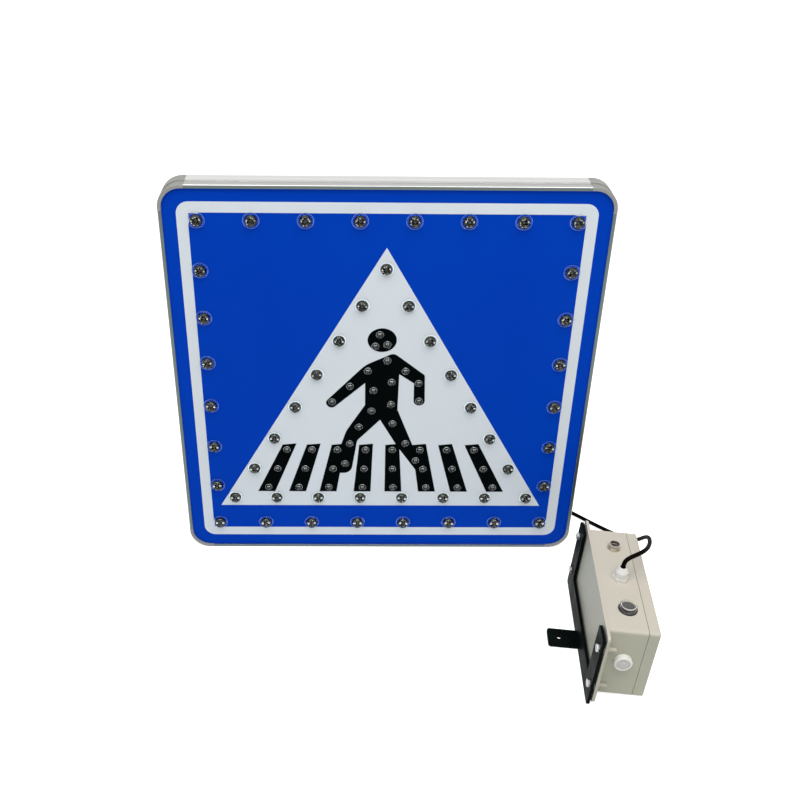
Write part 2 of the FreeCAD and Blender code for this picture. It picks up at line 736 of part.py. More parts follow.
def on_back(shape):
    """Turn a fitting built along Z so that it stands out of the back sheet."""
    shape.rotate(V(0, 0, 0), V(1, 0, 0), -90)
    shape.translate(V(SIGN_GLAND_X, BACK_OUTER_Y, SIGN_GLAND_Z))
    return shape


# Control box, in its own frame until set_down moves it to its place


def set_down(shape):
    """Lean a piece of the box, turn it and put it beside the sign."""
    shape.rotate(V(0, 0, 0), INTO_SIGN, BOX_LEAN)
    shape.rotate(V(0, 0, 0), UP, BOX_TURN)
    shape.translate(BOX_CORNER)
    return shape


def save_box(name, *solids):
    save(name, *[set_down(solid) for solid in solids])


def box_outline(inset=0.0):
    return rectangle(-BOX_LENGTH + inset, -inset, inset, BOX_HEIGHT - inset, max(BOX_EDGE_R - inset, 0))


def box_walls(inset, x0, x1):
    return side_plate(box_outline(inset), x0, x1)


def boss_places():
    return [(y, z) for y in (-BOSS_INSET, BOSS_INSET - BOX_LENGTH)
            for z in (BOSS_INSET, BOX_HEIGHT - BOSS_INSET)]


def bracket_screw_places():
    near = -BOX_LENGTH - PLATE_REACH + BRACKET_SCREW_INSET
    far = PLATE_REACH - BRACKET_SCREW_INSET
    return [(y, z) for y in (far, near) for z in BRACKET_SCREW_HEIGHTS]


def rods_x(diameter, places, x0, x1):
    return [rod(diameter, V(x0, y, z), V(x1, y, z)) for y, z in places]


def wall_roots():
    """Rounded root between the wall plate and each end wall."""
    low = BOX_EDGE_R
    high = BOX_HEIGHT - BOX_EDGE_R
    solids = []
    for wall_y, rim_y in ((-BOX_LENGTH, -BOX_LENGTH - ROOT_R), (0, ROOT_R)):
        root = block(0, ROOT_R, min(wall_y, rim_y), max(wall_y, rim_y), low, high)
        solids.append(root.cut(rod(2 * ROOT_R, V(ROOT_R, rim_y, low), V(ROOT_R, rim_y, high))))
    return solids


def ribs():
    """Small ribs that tie the wall plate to the end walls."""
    return [block(0, RIB_DEPTH, y, y + RIB_REACH, z, z + RIB_THICKNESS)
            for z in RIB_HEIGHTS for y in (-BOX_LENGTH - RIB_REACH, 0)]


def fitting_holes():
    """Cutters for the socket, gland, switch and sensor."""
    top = BOX_HEIGHT
    low = top - 2 * BOX_WALL
    near = -BOX_LENGTH
    holes = []
    for diameter, x, y in ((SOCKET_THREAD, SOCKET_X, SOCKET_Y), (GLAND_THREAD, BOX_GLAND_X, BOX_GLAND_Y),
                           (SWITCH_BARREL, SWITCH_X, SWITCH_FROM_FAR_END)):
        holes.append(rod(diameter + 2 * HOLE_PLAY, V(x, -y, low), V(x, -y, top)))
    holes.append(rod(SENSOR_BARREL + 2 * HOLE_PLAY, V(SENSOR_X, near, SENSOR_Z),
                     V(SENSOR_X, near + 2 * BOX_WALL, SENSOR_Z)))
    return holes


def box_base():
    """Deep half of the housing, moulded in one with its wall plate, ribs, bosses and pads."""
    floor = -PLATE_THICKNESS + BOX_WALL
    shell = box_walls(0, -PLATE_THICKNESS, BOX_BASE_DEPTH).cut(box_walls(BOX_WALL, floor, BOX_BASE_DEPTH))
    plate = side_plate(rectangle(-BOX_LENGTH - PLATE_REACH, PLATE_REACH, 0, BOX_HEIGHT + PLATE_RISE,
                                 PLATE_R), -PLATE_THICKNESS, 0)
    plate = plate.cut(box_walls(BOX_WALL, floor, 0))
    bosses = rods_x(BOSS, boss_places(), floor, BOX_BASE_DEPTH)
    screw_bosses = rods_x(BOSS, bracket_screw_places(), floor, BRACKET_SCREW_GRIP + 1)
    pads = rods_x(PAD, bracket_screw_places(), BRACKET_FRONT_X, -PLATE_THICKNESS)
    solid = shell.fuse([plate] + bosses + screw_bosses + pads + wall_roots() + ribs()).removeSplitter()
    pilots = rods_x(LID_SCREW + 2 * THREAD_PLAY, boss_places(),
                    BOX_BASE_DEPTH - LID_SCREW_GRIP - 1, BOX_BASE_DEPTH)
    pilots += rods_x(BRACKET_SCREW + 2 * THREAD_PLAY, bracket_screw_places(),
                     BRACKET_FRONT_X, BRACKET_SCREW_GRIP)
    return solid.cut(pilots + fitting_holes())


def box_lid():
    """Shallow half, with a tongue inside the base's rim and a sunk screw at each corner."""
    rim = BOX_BASE_DEPTH + LID_SEAM
    front = LID_FRONT_X
    outer = box_walls(0, rim, front)
    face_edges = [edge for edge in outer.Edges
                  if all(abs(vertex.X - front) < 1e-6 for vertex in edge.Vertexes)]
    outer = outer.makeFillet(LID_EDGE_R, face_edges)
    tongue_outer = BOX_WALL + LID_PLAY
    tongue_inner = tongue_outer + LID_TONGUE_WALL
    tongue = box_walls(tongue_outer, rim - LID_TONGUE, rim)
    tongue = tongue.cut(rods_x(BOSS + 2 * LID_PLAY, boss_places(), rim - LID_TONGUE, rim))
    hollow = [box_walls(tongue_inner, rim - LID_TONGUE, rim + BOX_WALL),
              box_walls(BOX_WALL, rim + BOX_WALL, front - BOX_WALL)]
    bosses = rods_x(BOSS, boss_places(), rim, front - BOX_WALL)
    solid = outer.fuse(tongue).cut(hollow).fuse(bosses).removeSplitter()
    solid = solid.cut(rods_x(LID_SCREW + 2 * THREAD_PLAY, boss_places(), rim, front))
    return solid.cut(rods_x(LID_SCREW_HEAD + 2 * LID_PLAY, boss_places(), front - LID_SCREW_SINK, front))


def lid_gasket():
    rim = BOX_BASE_DEPTH
    ring = box_walls(GASKET_INSET, rim, rim + LID_SEAM)
    return ring.cut(box_walls(GASKET_INSET + GASKET_WIDTH, rim, rim + LID_SEAM))


def lid_screws():
    seat = LID_FRONT_X - LID_SCREW_SINK
    heads = rods_x(LID_SCREW_HEAD, boss_places(), seat, seat + LID_SCREW_HEAD_HEIGHT)
    shanks = rods_x(LID_SCREW, boss_places(), BOX_BASE_DEPTH - LID_SCREW_GRIP, seat)
    return [head_part.fuse(shank).removeSplitter() for head_part, shank in zip(heads, shanks)]


def mounting_bracket():
    """U of flat bar behind the box, with a tab bent outwards at the foot of its long bar."""
    front = BRACKET_FRONT_X
    rear = front - BAR_THICKNESS
    far = PLATE_REACH
    near = -BOX_LENGTH - PLATE_REACH
    foot = -BRACKET_DROP
    sill = foot + BAR
    corners = ((far, foot, BAR_END_R), (far, BRACKET_TOP, BAR_END_R), (far - BAR, BRACKET_TOP, BAR_END_R),
               (far - BAR, sill, BAR_INNER_R), (near + BAR, sill, BAR_INNER_R),
               (near + BAR, BRACKET_TOP, BAR_END_R), (near, BRACKET_TOP, BAR_END_R), (near, foot, BAR_END_R))
    frame = side_plate(corners, rear, front)
    bend = BEND_R + BAR_THICKNESS
    crook = foot + bend
    tab_top = foot + BAR_THICKNESS
    tip = rear - TAB_LENGTH
    tab_near = -TAB_FROM_FAR_END - TAB_WIDTH / 2
    frame = frame.cut(block(rear, front, tab_near, tab_near + TAB_WIDTH, foot, crook))
    section = ((front, crook, 0), (front, foot, bend), (tip, foot, 0), (tip, tab_top, 0),
               (rear, tab_top, BEND_R), (rear, crook, 0))
    tab = prism(section, lambda x, z: V(x, tab_near, z), INTO_SIGN * TAB_WIDTH)
    tip_edges = [edge for edge in tab.Edges
                 if all(abs(vertex.X - tip) < 1e-6 for vertex in edge.Vertexes)
                 and abs(edge.tangentAt(edge.FirstParameter).z) > 0.9]
    tab = tab.makeFillet(TAB_R, tip_edges)
    hole = V(tip + TAB_HOLE_FROM_TIP, -TAB_FROM_FAR_END, foot)
    tab = tab.cut(rod(TAB_HOLE, hole, hole + UP * BAR_THICKNESS))
    solid = frame.fuse(tab).removeSplitter()
    return solid.cut(rods_x(BRACKET_SCREW + 2 * HOLE_PLAY, bracket_screw_places(), rear, front))


def bracket_screws():
    """Hexagon head screws through the bracket into bosses on the wall plate."""
    seat = BRACKET_FRONT_X - BAR_THICKNESS
    solids = []
    for y, z in bracket_screw_places():
        screw_head = hexagon_prism(BRACKET_SCREW_FLATS, 0, BRACKET_SCREW_HEAD)
        screw_head.rotate(V(0, 0, 0), V(0, 1, 0), -90)
        screw_head.translate(V(seat, y, z))
        shank = rod(BRACKET_SCREW, V(seat, y, z), V(BRACKET_SCREW_GRIP - 1, y, z))
        solids.append(screw_head.fuse(shank).removeSplitter())
    return solids


# Fittings of the control box, built along Z on its top or end wall


def on_top(shape, x, y):
    shape.translate(V(x, -y, BOX_HEIGHT))
    return shape


def on_near_end(shape, x, z):
    shape.rotate(V(0, 0, 0), V(1, 0, 0), 90)
    shape.translate(V(x, -BOX_LENGTH, z))
    return shape


def ring_nut(flats, bore, height):
    """Hexagon nut against the inside of the wall."""
    nut = hexagon_prism(flats, -BOX_WALL - height, -BOX_WALL)
    return nut.cut(rod(bore + 2 * THREAD_PLAY, V(0, 0, -BOX_WALL - height), V(0, 0, -BOX_WALL)))


def socket_shell():
    """Threaded shell, with a wider mouth for the plug above the seat of the insert."""
    outer = SOCKET_THREAD / 2
    bore = SOCKET_BORE / 2
    mouth = SOCKET_MOUTH / 2
    seat = SOCKET_HEIGHT - SOCKET_MOUTH_DEPTH
    return turned([(bore, -SOCKET_TAIL), (outer, -SOCKET_TAIL), (outer, 0), (SOCKET_FLANGE / 2, 0),
                   (SOCKET_FLANGE / 2, SOCKET_FLANGE_HEIGHT), (outer, SOCKET_FLANGE_HEIGHT),
                   (outer, SOCKET_HEIGHT), (mouth, SOCKET_HEIGHT), (mouth, seat), (bore, seat)])


def socket_contacts(diameter=SOCKET_CONTACT):
    """Two contact rods, flush with the face of the insert."""
    offset = SOCKET_CONTACT_SPACING / 2
    top = SOCKET_HEIGHT - SOCKET_MOUTH_DEPTH
    return [rod(diameter, V(x, 0, -SOCKET_TAIL), V(x, 0, top)) for x in (-offset, offset)]


def socket_insert():
    """Black contact carrier, pressed into the shell, with a key groove at its rim."""
    top = SOCKET_HEIGHT - SOCKET_MOUTH_DEPTH
    insert = rod(SOCKET_BORE - 2 * THREAD_PLAY, V(0, 0, -SOCKET_TAIL), V(0, 0, top))
    half = SOCKET_KEY / 2
    rim = SOCKET_BORE / 2
    key = block(-half, half, -rim, -rim + SOCKET_KEY, top - SOCKET_KEY, top)
    return insert.cut([key] + socket_contacts(SOCKET_CONTACT + THREAD_PLAY))


def switch_body():
    barrel = SWITCH_BARREL / 2
    ring = SWITCH_RING / 2
    well = SWITCH_BUTTON / 2 + SWITCH_BUTTON_PLAY
    chamfer = SWITCH_RING_HEIGHT / 3
    return turned([(0, -SWITCH_BARREL_LENGTH), (barrel, -SWITCH_BARREL_LENGTH), (barrel, 0), (ring, 0),
                   (ring, SWITCH_RING_HEIGHT - chamfer), (ring - chamfer, SWITCH_RING_HEIGHT),
                   (well, SWITCH_RING_HEIGHT), (well, -SWITCH_WELL), (0, -SWITCH_WELL)])


def switch_button():
    radius = SWITCH_BUTTON / 2
    edge = SWITCH_RING_HEIGHT / 3
    return turned([(0, -SWITCH_BUTTON_FOOT), (radius, -SWITCH_BUTTON_FOOT),
                   (radius, SWITCH_BUTTON_TOP - edge), (radius - edge, SWITCH_BUTTON_TOP),
                   (0, SWITCH_BUTTON_TOP)])


def switch_boot():
    """Clear cap over the button, sealed on the ring."""
    outer = SWITCH_BOOT / 2
    inner = outer - SWITCH_BOOT_WALL
    seat = SWITCH_RING_HEIGHT
    top = seat + SWITCH_BOOT_HEIGHT
    edge = 2 * SWITCH_BOOT_WALL
    return turned([(inner, seat), (outer, seat), (outer, top - edge), (outer - edge, top), (0, top),
                   (0, top - SWITCH_BOOT_WALL), (inner - edge / 2, top - SWITCH_BOOT_WALL),
                   (inner, top - SWITCH_BOOT_WALL - edge / 2)])


def sensor_body():
    barrel = SENSOR_BARREL / 2
    bezel = SENSOR_BEZEL / 2
    lens = SENSOR_LENS / 2 + THREAD_PLAY
    sunk = SENSOR_HEIGHT - SENSOR_LENS_SINK
    return turned([(0, -SENSOR_BARREL_LENGTH), (barrel, -SENSOR_BARREL_LENGTH), (barrel, 0), (bezel, 0),
                   (bezel, SENSOR_HEIGHT - SENSOR_EDGE), (bezel - SENSOR_EDGE, SENSOR_HEIGHT),
                   (lens, SENSOR_HEIGHT), (lens, sunk), (0, sunk)])


def sensor_lens():
    lens = SENSOR_LENS / 2
    sunk = SENSOR_HEIGHT - SENSOR_LENS_SINK
    rim = sunk + SENSOR_LENS_RIM
    return turned([(0, sunk), (lens, sunk), (lens, rim), (lens / 2, rim + SENSOR_LENS_CROWN * 0.8),
                   (0, rim + SENSOR_LENS_CROWN)])


# Inside the control box


def inner_floor():
    return -PLATE_THICKNESS + BOX_WALL


def battery_corners():
    far = -BOX_WALL - BATTERY_END_GAP
    low = BOX_WALL + BATTERY_FLOOR_GAP
    return far - BATTERY_LENGTH, far, low, low + BATTERY_HEIGHT


def battery_pack():
    near, far, low, high = battery_corners()
    floor = inner_floor()
    corners = rectangle(floor, floor + BATTERY_DEPTH, low, high, BATTERY_R)
    return prism(corners, lambda x, z: V(x, near, z), INTO_SIGN * (far - near))


def battery_strap():
    """Bent strap over the battery, with a foot on the floor at each side."""
    near, far, low, high = battery_corners()
    floor = inner_floor()
    foot_top = floor + STRAP_SHEET
    inside = floor + BATTERY_DEPTH + STRAP_PLAY
    outside = inside + STRAP_SHEET
    low_in = low - STRAP_PLAY
    low_out = low_in - STRAP_SHEET
    high_in = high + STRAP_PLAY
    high_out = high_in + STRAP_SHEET
    section = ((floor, low_out - STRAP_FOOT, 0), (floor, low_in, 0), (inside, low_in, 0),
               (inside, high_in, 0), (floor, high_in, 0), (floor, high_out + STRAP_FOOT, 0),
               (foot_top, high_out + STRAP_FOOT, 0), (foot_top, high_out, 0), (outside, high_out, 0),
               (outside, low_out, 0), (foot_top, low_out, 0), (foot_top, low_out - STRAP_FOOT, 0))
    middle = (near + far) / 2 - STRAP_WIDTH / 2
    return prism(section, lambda x, z: V(x, middle, z), INTO_SIGN * STRAP_WIDTH)


def controller_corners():
    far = battery_corners()[0] - CONTROLLER_GAP
    low = BOX_WALL + CONTROLLER_FLOOR_GAP
    near = -BOX_LENGTH + BOX_WALL + CONTROLLER_END_GAP
    return near, far, low, low + CONTROLLER_HEIGHT


def controller_board():
    """Charge controller: a board with its terminals and one capacitor."""
    near, far, low, high = controller_corners()
    rear = inner_floor() + POST_LENGTH
    front = rear + BOARD
    board = block(rear, front, near, far, low, high)
    terminals = block(front, front + POST, near + POST, far - POST, low, low + POST)
    middle = (near + far) / 2
    foot = V(front, middle, high - 2 * POST)
    capacitor = rod(POST, foot, foot + V(1.5 * POST, 0, 0))
    return board.fuse([terminals, capacitor]).removeSplitter()


def board_posts():
    near, far, low, high = controller_corners()
    floor = inner_floor()
    return [block(floor, floor + POST_LENGTH, y, y + POST, z, z + POST)
            for y in (near, far - POST) for z in (low, high - POST)]


# Cable


def cable_exit_from_sign():
    return V(SIGN_GLAND_X, BACK_OUTER_Y + GLAND_BODY_HEIGHT + GLAND_CAP_HEIGHT, SIGN_GLAND_Z)


def cable_entry_to_box():
    entry = V(BOX_GLAND_X, -BOX_GLAND_Y, BOX_HEIGHT + GLAND_BODY_HEIGHT + GLAND_CAP_HEIGHT)
    return BOX_AXES.multVec(entry) + BOX_CORNER


def cable_points():
    """The whole route, leaving and entering each gland along its axis."""
    start = cable_exit_from_sign()
    end = cable_entry_to_box()
    middle = [V(*point) for point in CABLE_ROUTE]
    return [start, start + INTO_SIGN * CABLE_LEAVE] + middle + [end + BOX_UP * CABLE_ENTER, end]


def cable():
    """Tube along straight runs joined by tangent arcs."""
    points = cable_points()
    edges = []
    here = points[0]
    radii = []
    for before, corner, after in zip(points, points[1:], points[2:]):
        back = (before - corner).normalize()
        onward = (after - corner).normalize()
        half = back.getAngle(onward) / 2
        reach = 0.45 * min((corner - before).Length, (after - corner).Length)
        radius = reach * math.tan(half)
        radii.append(round(radius, 1))
        bisector = (back + onward).normalize()
        arc_start = corner + back * reach
        arc_end = corner + onward * reach
        arc_middle = corner + bisector * (radius / math.sin(half) - radius)
        edges.append(Part.LineSegment(here, arc_start).toShape())
        edges.append(Part.Arc(arc_start, arc_middle, arc_end).toShape())
        here = arc_end
    edges.append(Part.LineSegment(here, points[-1]).toShape())
    path = Part.Wire(edges)
    circle = Part.Circle(points[0], points[1] - points[0], CABLE / 2)
    tube = path.makePipeShell([Part.Wire(circle.toShape())], True, True)
    section = math.pi * CABLE * CABLE / 4
    print("cable length %.1f mm, volume / (section x length) %.4f" % (path.Length,
                                                                     tube.Volume / section / path.Length))
    print("cable radii", radii)
    return tube


def build_sign():
    bar = frame_bar()
    corner = corner_piece()
    for quarters, side in enumerate(("bottom", "left", "top", "right")):
        save("frame_" + side, quarter_turned(bar, quarters))
    for quarters, place in enumerate(("bottom_left", "top_left", "top_right", "bottom_right")):
        save("corner_" + place, quarter_turned(corner, quarters))
    save("face_sheet", upright_plate(face_outline(), SHEET_Y, SHEET_REAR_Y))
    save("blue_film", upright_plate(face_outline(), FACE_Y, SHEET_Y))
    strip = border_strip()
    save("border_strips", *[quarter_turned(strip, k) for k in range(4)])
    piece = border_corner()
    save("border_corners", *[quarter_turned(piece, k) for k in range(4)])
    save("triangle_film", white_triangle())
    save("figure_film", head(), figure_and_feet())
    save("stripe_film", *stripes(False))
    save("border_leds", *studs(large_stud, border_stud_places(), WHITE_Y))
    save("triangle_leds", *studs(large_stud, triangle_stud_places(), WHITE_Y))
    save("figure_leds", *studs(small_stud, [drawn(x, z) for x, z in FIGURE_STUDS], BLACK_Y))
    save("stripe_leds", *studs(small_stud, stripe_stud_places(), BLACK_Y))
    save("border_boards", *border_boards())
    save("triangle_board", triangle_board())
    save("figure_board", figure_board())
    save("terminal_block", terminal_block())
    save("back_sheet", back_sheet())
    for name, height in zip(("lower_rail", "upper_rail"), rail_heights()):
        save(name, rail(height))
    save("rail_rivets", *rivets())
    save_gland("sign", BACK_SHEET, on_back)


def build_control_box():
    save_box("box_base", box_base())
    save_box("box_lid", box_lid())
    save_box("lid_gasket", lid_gasket())
    save_box("lid_screws", *lid_screws())
    save_box("mounting_bracket", mounting_bracket())
    save_box("bracket_screws", *bracket_screws())
    for name, solids in (("socket_shell", [socket_shell()]), ("socket_insert", [socket_insert()]),
                         ("socket_contacts", socket_contacts()),
                         ("socket_nut", [ring_nut(SOCKET_NUT_FLATS, SOCKET_THREAD, SOCKET_NUT_HEIGHT)])):
        save_box(name, *[on_top(solid, SOCKET_X, SOCKET_Y) for solid in solids])
    save_gland("box", BOX_WALL, lambda shape: set_down(on_top(shape, BOX_GLAND_X, BOX_GLAND_Y)))
    for name, solid in (("switch_body", switch_body()), ("switch_button", switch_button()),
                        ("switch_boot", switch_boot()),
                        ("switch_nut", ring_nut(SWITCH_NUT_FLATS, SWITCH_BARREL, SWITCH_NUT_HEIGHT))):
        save_box(name, on_top(solid, SWITCH_X, SWITCH_FROM_FAR_END))
    for name, solid in (("sensor_body", sensor_body()), ("sensor_lens", sensor_lens()),
                        ("sensor_nut", ring_nut(SENSOR_NUT_FLATS, SENSOR_BARREL, SENSOR_NUT_HEIGHT))):
        save_box(name, on_near_end(solid, SENSOR_X, SENSOR_Z))
    save_box("battery_pack", battery_pack())
    save_box("battery_strap", battery_strap())
    save_box("controller_board", controller_board())
    save_box("board_posts", *board_posts())


os.makedirs("parts", exist_ok=True)
build_sign()
build_control_box()
save("power_cable", cable())
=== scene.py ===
import math

import bmesh
import bpy
from mathutils import Matrix, Vector


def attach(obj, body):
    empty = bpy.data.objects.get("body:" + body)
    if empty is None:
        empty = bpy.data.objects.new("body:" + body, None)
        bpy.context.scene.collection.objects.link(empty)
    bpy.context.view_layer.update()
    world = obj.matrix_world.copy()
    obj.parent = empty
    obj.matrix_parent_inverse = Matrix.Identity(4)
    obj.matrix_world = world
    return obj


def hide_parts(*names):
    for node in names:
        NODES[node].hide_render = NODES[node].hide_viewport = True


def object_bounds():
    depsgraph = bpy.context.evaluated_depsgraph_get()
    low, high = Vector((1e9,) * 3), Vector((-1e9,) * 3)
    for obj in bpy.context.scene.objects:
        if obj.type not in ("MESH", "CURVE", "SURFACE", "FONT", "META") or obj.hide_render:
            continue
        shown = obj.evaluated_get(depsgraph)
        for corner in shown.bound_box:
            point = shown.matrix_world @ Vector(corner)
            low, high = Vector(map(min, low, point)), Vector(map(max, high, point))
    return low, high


# The looks of an LED crossing sign and its control box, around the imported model. All sizes in metres.

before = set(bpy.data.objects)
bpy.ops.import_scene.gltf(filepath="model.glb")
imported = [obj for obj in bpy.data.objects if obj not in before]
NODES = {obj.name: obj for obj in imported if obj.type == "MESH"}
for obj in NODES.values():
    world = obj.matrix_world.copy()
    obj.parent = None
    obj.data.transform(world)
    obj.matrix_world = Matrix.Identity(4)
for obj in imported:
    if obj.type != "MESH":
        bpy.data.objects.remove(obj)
cad_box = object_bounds()
ROOT = "sign_and_box"


# Camera, as the photograph was taken

CAMERA_PLACE = Vector((-0.0482, -1.2566, 1.0450))
CAMERA_PITCH = math.radians(31.84)
CAMERA_YAW = math.radians(-0.86)
CAMERA_ROLL = math.radians(0.70)
FOCAL_PIXELS = 1002.3
IMAGE_WIDTH = 800
OPTICAL_AXIS_PIXEL = 362.9
SENSOR_WIDTH_MM = 36
NEAREST_SEEN = 0.05


def add_camera():
    camera = bpy.data.cameras.new("camera")
    camera.sensor_width = SENSOR_WIDTH_MM
    camera.lens = FOCAL_PIXELS / IMAGE_WIDTH * camera.sensor_width
    camera.shift_x = 0.5 - OPTICAL_AXIS_PIXEL / IMAGE_WIDTH
    camera.clip_start = NEAREST_SEEN
    obj = bpy.data.objects.new("camera", camera)
    bpy.context.collection.objects.link(obj)
    turn = Matrix.Rotation(CAMERA_YAW, 4, "Z") @ Matrix.Rotation(math.pi / 2 - CAMERA_PITCH, 4, "X")
    obj.matrix_world = Matrix.Translation(CAMERA_PLACE) @ turn @ Matrix.Rotation(CAMERA_ROLL, 4, "Z")
    bpy.context.scene.camera = obj


add_camera()


# Cable, along the same route as the solid that it stands for

CABLE_DIAMETER = 0.006
CABLE_ROUND_STEPS = 6
CABLE_LONG_STEPS = 10
CABLE_ROUTE = (
    (0.2380, 0.0394, 0.0620), (0.2380, 0.0594, 0.0620), (0.2420, 0.0810, 0.0480),
    (0.2510, 0.0950, 0.0240), (0.2680, 0.0990, 0.0046), (0.2970, 0.0880, 0.0032),
    (0.3260, 0.0640, 0.0032), (0.3530, 0.0370, 0.0032), (0.3800, 0.0090, 0.0060),
    (0.3950, -0.0220, 0.0180), (0.3990, -0.0550, 0.0460), (0.3954, -0.0885, 0.0793),
    (0.3886, -0.1235, 0.1079), (0.3793, -0.1557, 0.1257), (0.3691, -0.1805, 0.1384),
    (0.3584, -0.2009, 0.1495), (0.3469, -0.2159, 0.1568), (0.3361, -0.2239, 0.1587),
    (0.3280, -0.2255, 0.1553), (0.32337, -0.22445, 0.14784), (0.32290, -0.22441, 0.13935),
)


def add_cable():
    """A round tube along one smooth curve, whose points carry its radius."""
    curve = bpy.data.curves.new("cable", "CURVE")
    curve.dimensions = "3D"
    curve.bevel_depth = 1
    curve.bevel_resolution = CABLE_ROUND_STEPS
    curve.resolution_u = CABLE_LONG_STEPS
    curve.use_fill_caps = True
    spline = curve.splines.new("NURBS")
    spline.points.add(len(CABLE_ROUTE) - 1)
    for point, place in zip(spline.points, CABLE_ROUTE):
        point.co = (*place, 1)
        point.radius = CABLE_DIAMETER / 2
    spline.order_u = 3
    spline.use_endpoint_u = True
    obj = bpy.data.objects.new("cable", curve)
    bpy.context.collection.objects.link(obj)
    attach(obj, ROOT)
    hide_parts("power_cable")
    return obj


cable = add_cable()


# Materials


class Painter:
    """Builds one procedural material around a Principled shader, in the object's own coordinates."""

    def __init__(self, name, color, roughness, metallic=0.0, gloss=0.5, soften=0.0):
        self.material = bpy.data.materials.new(name)
        self.material.use_nodes = True
        self.tree = self.material.node_tree
        self.shader = self.tree.nodes["Principled BSDF"]
        self.shader.inputs["Base Color"].default_value = (*color, 1)
        self.shader.inputs["Roughness"].default_value = roughness
        self.shader.inputs["Metallic"].default_value = metallic
        self.shader.inputs["Specular IOR Level"].default_value = gloss
        self.place = self.node("ShaderNodeTexCoord").outputs["Object"]
        if soften:
            edges = self.node("ShaderNodeBevel", samples=4, Radius=soften)
            self.link(edges.outputs["Normal"], self.shader.inputs["Normal"])

    def node(self, kind, **values):
        """Adds a node, and sets its sockets or else its options by name."""
        made = self.tree.nodes.new(kind)
        for key, value in values.items():
            if key in made.inputs:
                made.inputs[key].default_value = value
            else:
                setattr(made, key, value)
        return made

    def link(self, output, target):
        self.tree.links.new(output, target)

    def scaled(self, scale):
        """Object coordinates times a scale for each axis."""
        mapping = self.node("ShaderNodeMapping")
        mapping.inputs["Scale"].default_value = scale
        self.link(self.place, mapping.inputs["Vector"])
        return mapping.outputs["Vector"]

    def noise(self, scale, detail=3.0, rough=0.5, stretch=(1, 1, 1)):
        """Cloudy values about the middle of nought to one, with so many clouds a metre."""
        made = self.node("ShaderNodeTexNoise", Scale=scale, Detail=detail, Roughness=rough)
        self.link(self.scaled(stretch), made.inputs["Vector"])
        return made.outputs["Fac"]

    def spread(self, value, low, high, out_low=0.0, out_high=1.0):
        """Maps a value from one range to another, held inside it."""
        made = self.node("ShaderNodeMapRange")
        made.inputs["From Min"].default_value = low
        made.inputs["From Max"].default_value = high
        made.inputs["To Min"].default_value = out_low
        made.inputs["To Max"].default_value = out_high
        self.link(value, made.inputs["Value"])
        return made.outputs["Result"]

    def combine(self, operation, a, b):
        """A product, sine or the like of two values, each a number or another node's output."""
        made = self.node("ShaderNodeMath", operation=operation)
        for i, value in enumerate((a, b)):
            if isinstance(value, (int, float)):
                made.inputs[i].default_value = value
            else:
                self.link(value, made.inputs[i])
        return made.outputs[0]

    def tint(self, factor, color):
        """Mixes another colour into the base colour by a factor."""
        target = self.shader.inputs["Base Color"]
        mix = self.node("ShaderNodeMix", data_type="RGBA")
        if target.is_linked:
            self.link(target.links[0].from_socket, mix.inputs["A"])
        else:
            mix.inputs["A"].default_value = target.default_value[:]
        mix.inputs["B"].default_value = (*color, 1)
        self.link(factor, mix.inputs["Factor"])
        self.link(mix.outputs["Result"], target)

    def rough(self, value, low, high):
        """Varies the roughness with a cloudy value."""
        self.link(self.spread(value, 0.3, 0.7, low, high), self.shader.inputs["Roughness"])

    def distance(self, centre):
        """How far a point lies from a centre, in the object's coordinates."""
        made = self.node("ShaderNodeVectorMath", operation="DISTANCE")
        self.link(self.place, made.inputs[0])
        made.inputs[1].default_value = centre
        return made.outputs["Value"]

    def along(self, output, axis):
        """One coordinate of the place or normal that the object gives."""
        parts = self.node("ShaderNodeSeparateXYZ")
        self.link(self.node("ShaderNodeTexCoord").outputs[output], parts.inputs["Vector"])
        return parts.outputs[axis]

    def bump(self, height, strength, distance):
        """Adds a fine relief on top of what relief there is."""
        made = self.node("ShaderNodeBump", Strength=strength, Distance=distance)
        self.link(height, made.inputs["Height"])
        target = self.shader.inputs["Normal"]
        if target.is_linked:
            self.link(target.links[0].from_socket, made.inputs["Normal"])
        self.link(made.outputs["Normal"], target)

    def lets_light_past(self):
        """Thin clear plastic: shadow rays go straight through it."""
        rays = self.node("ShaderNodeLightPath")
        through = self.node("ShaderNodeBsdfTransparent")
        pick = self.node("ShaderNodeMixShader")
        self.link(rays.outputs["Is Shadow Ray"], pick.inputs[0])
        self.link(self.shader.outputs["BSDF"], pick.inputs[1])
        self.link(through.outputs["BSDF"], pick.inputs[2])
        self.link(pick.outputs[0], self.tree.nodes["Material Output"].inputs["Surface"])


BAR_TONE = (0.79, 0.79, 0.77)
BAR_LINE_TONE = (0.66, 0.66, 0.65)
BAR_CLOUD_TONE = (0.66, 0.67, 0.69)
BAR_FRONT_SHADE = (0.45, 0.45, 0.44)
LIP_DARK_REFLECTION = (0.12, 0.145, 0.135)
# The bars' front half, darkened by painted shade, starts in the middle of the frame's depth, which is at Y
# nought, with a short blur.
# The lip's forward faces, darkened by a painted reflection of dark surroundings, stand between these two
# depths, just in front of the sign's face.
MIDDLE_BLUR = 0.001
LIP_FRONT_Y = -0.019
LIP_BACK_Y = -0.016


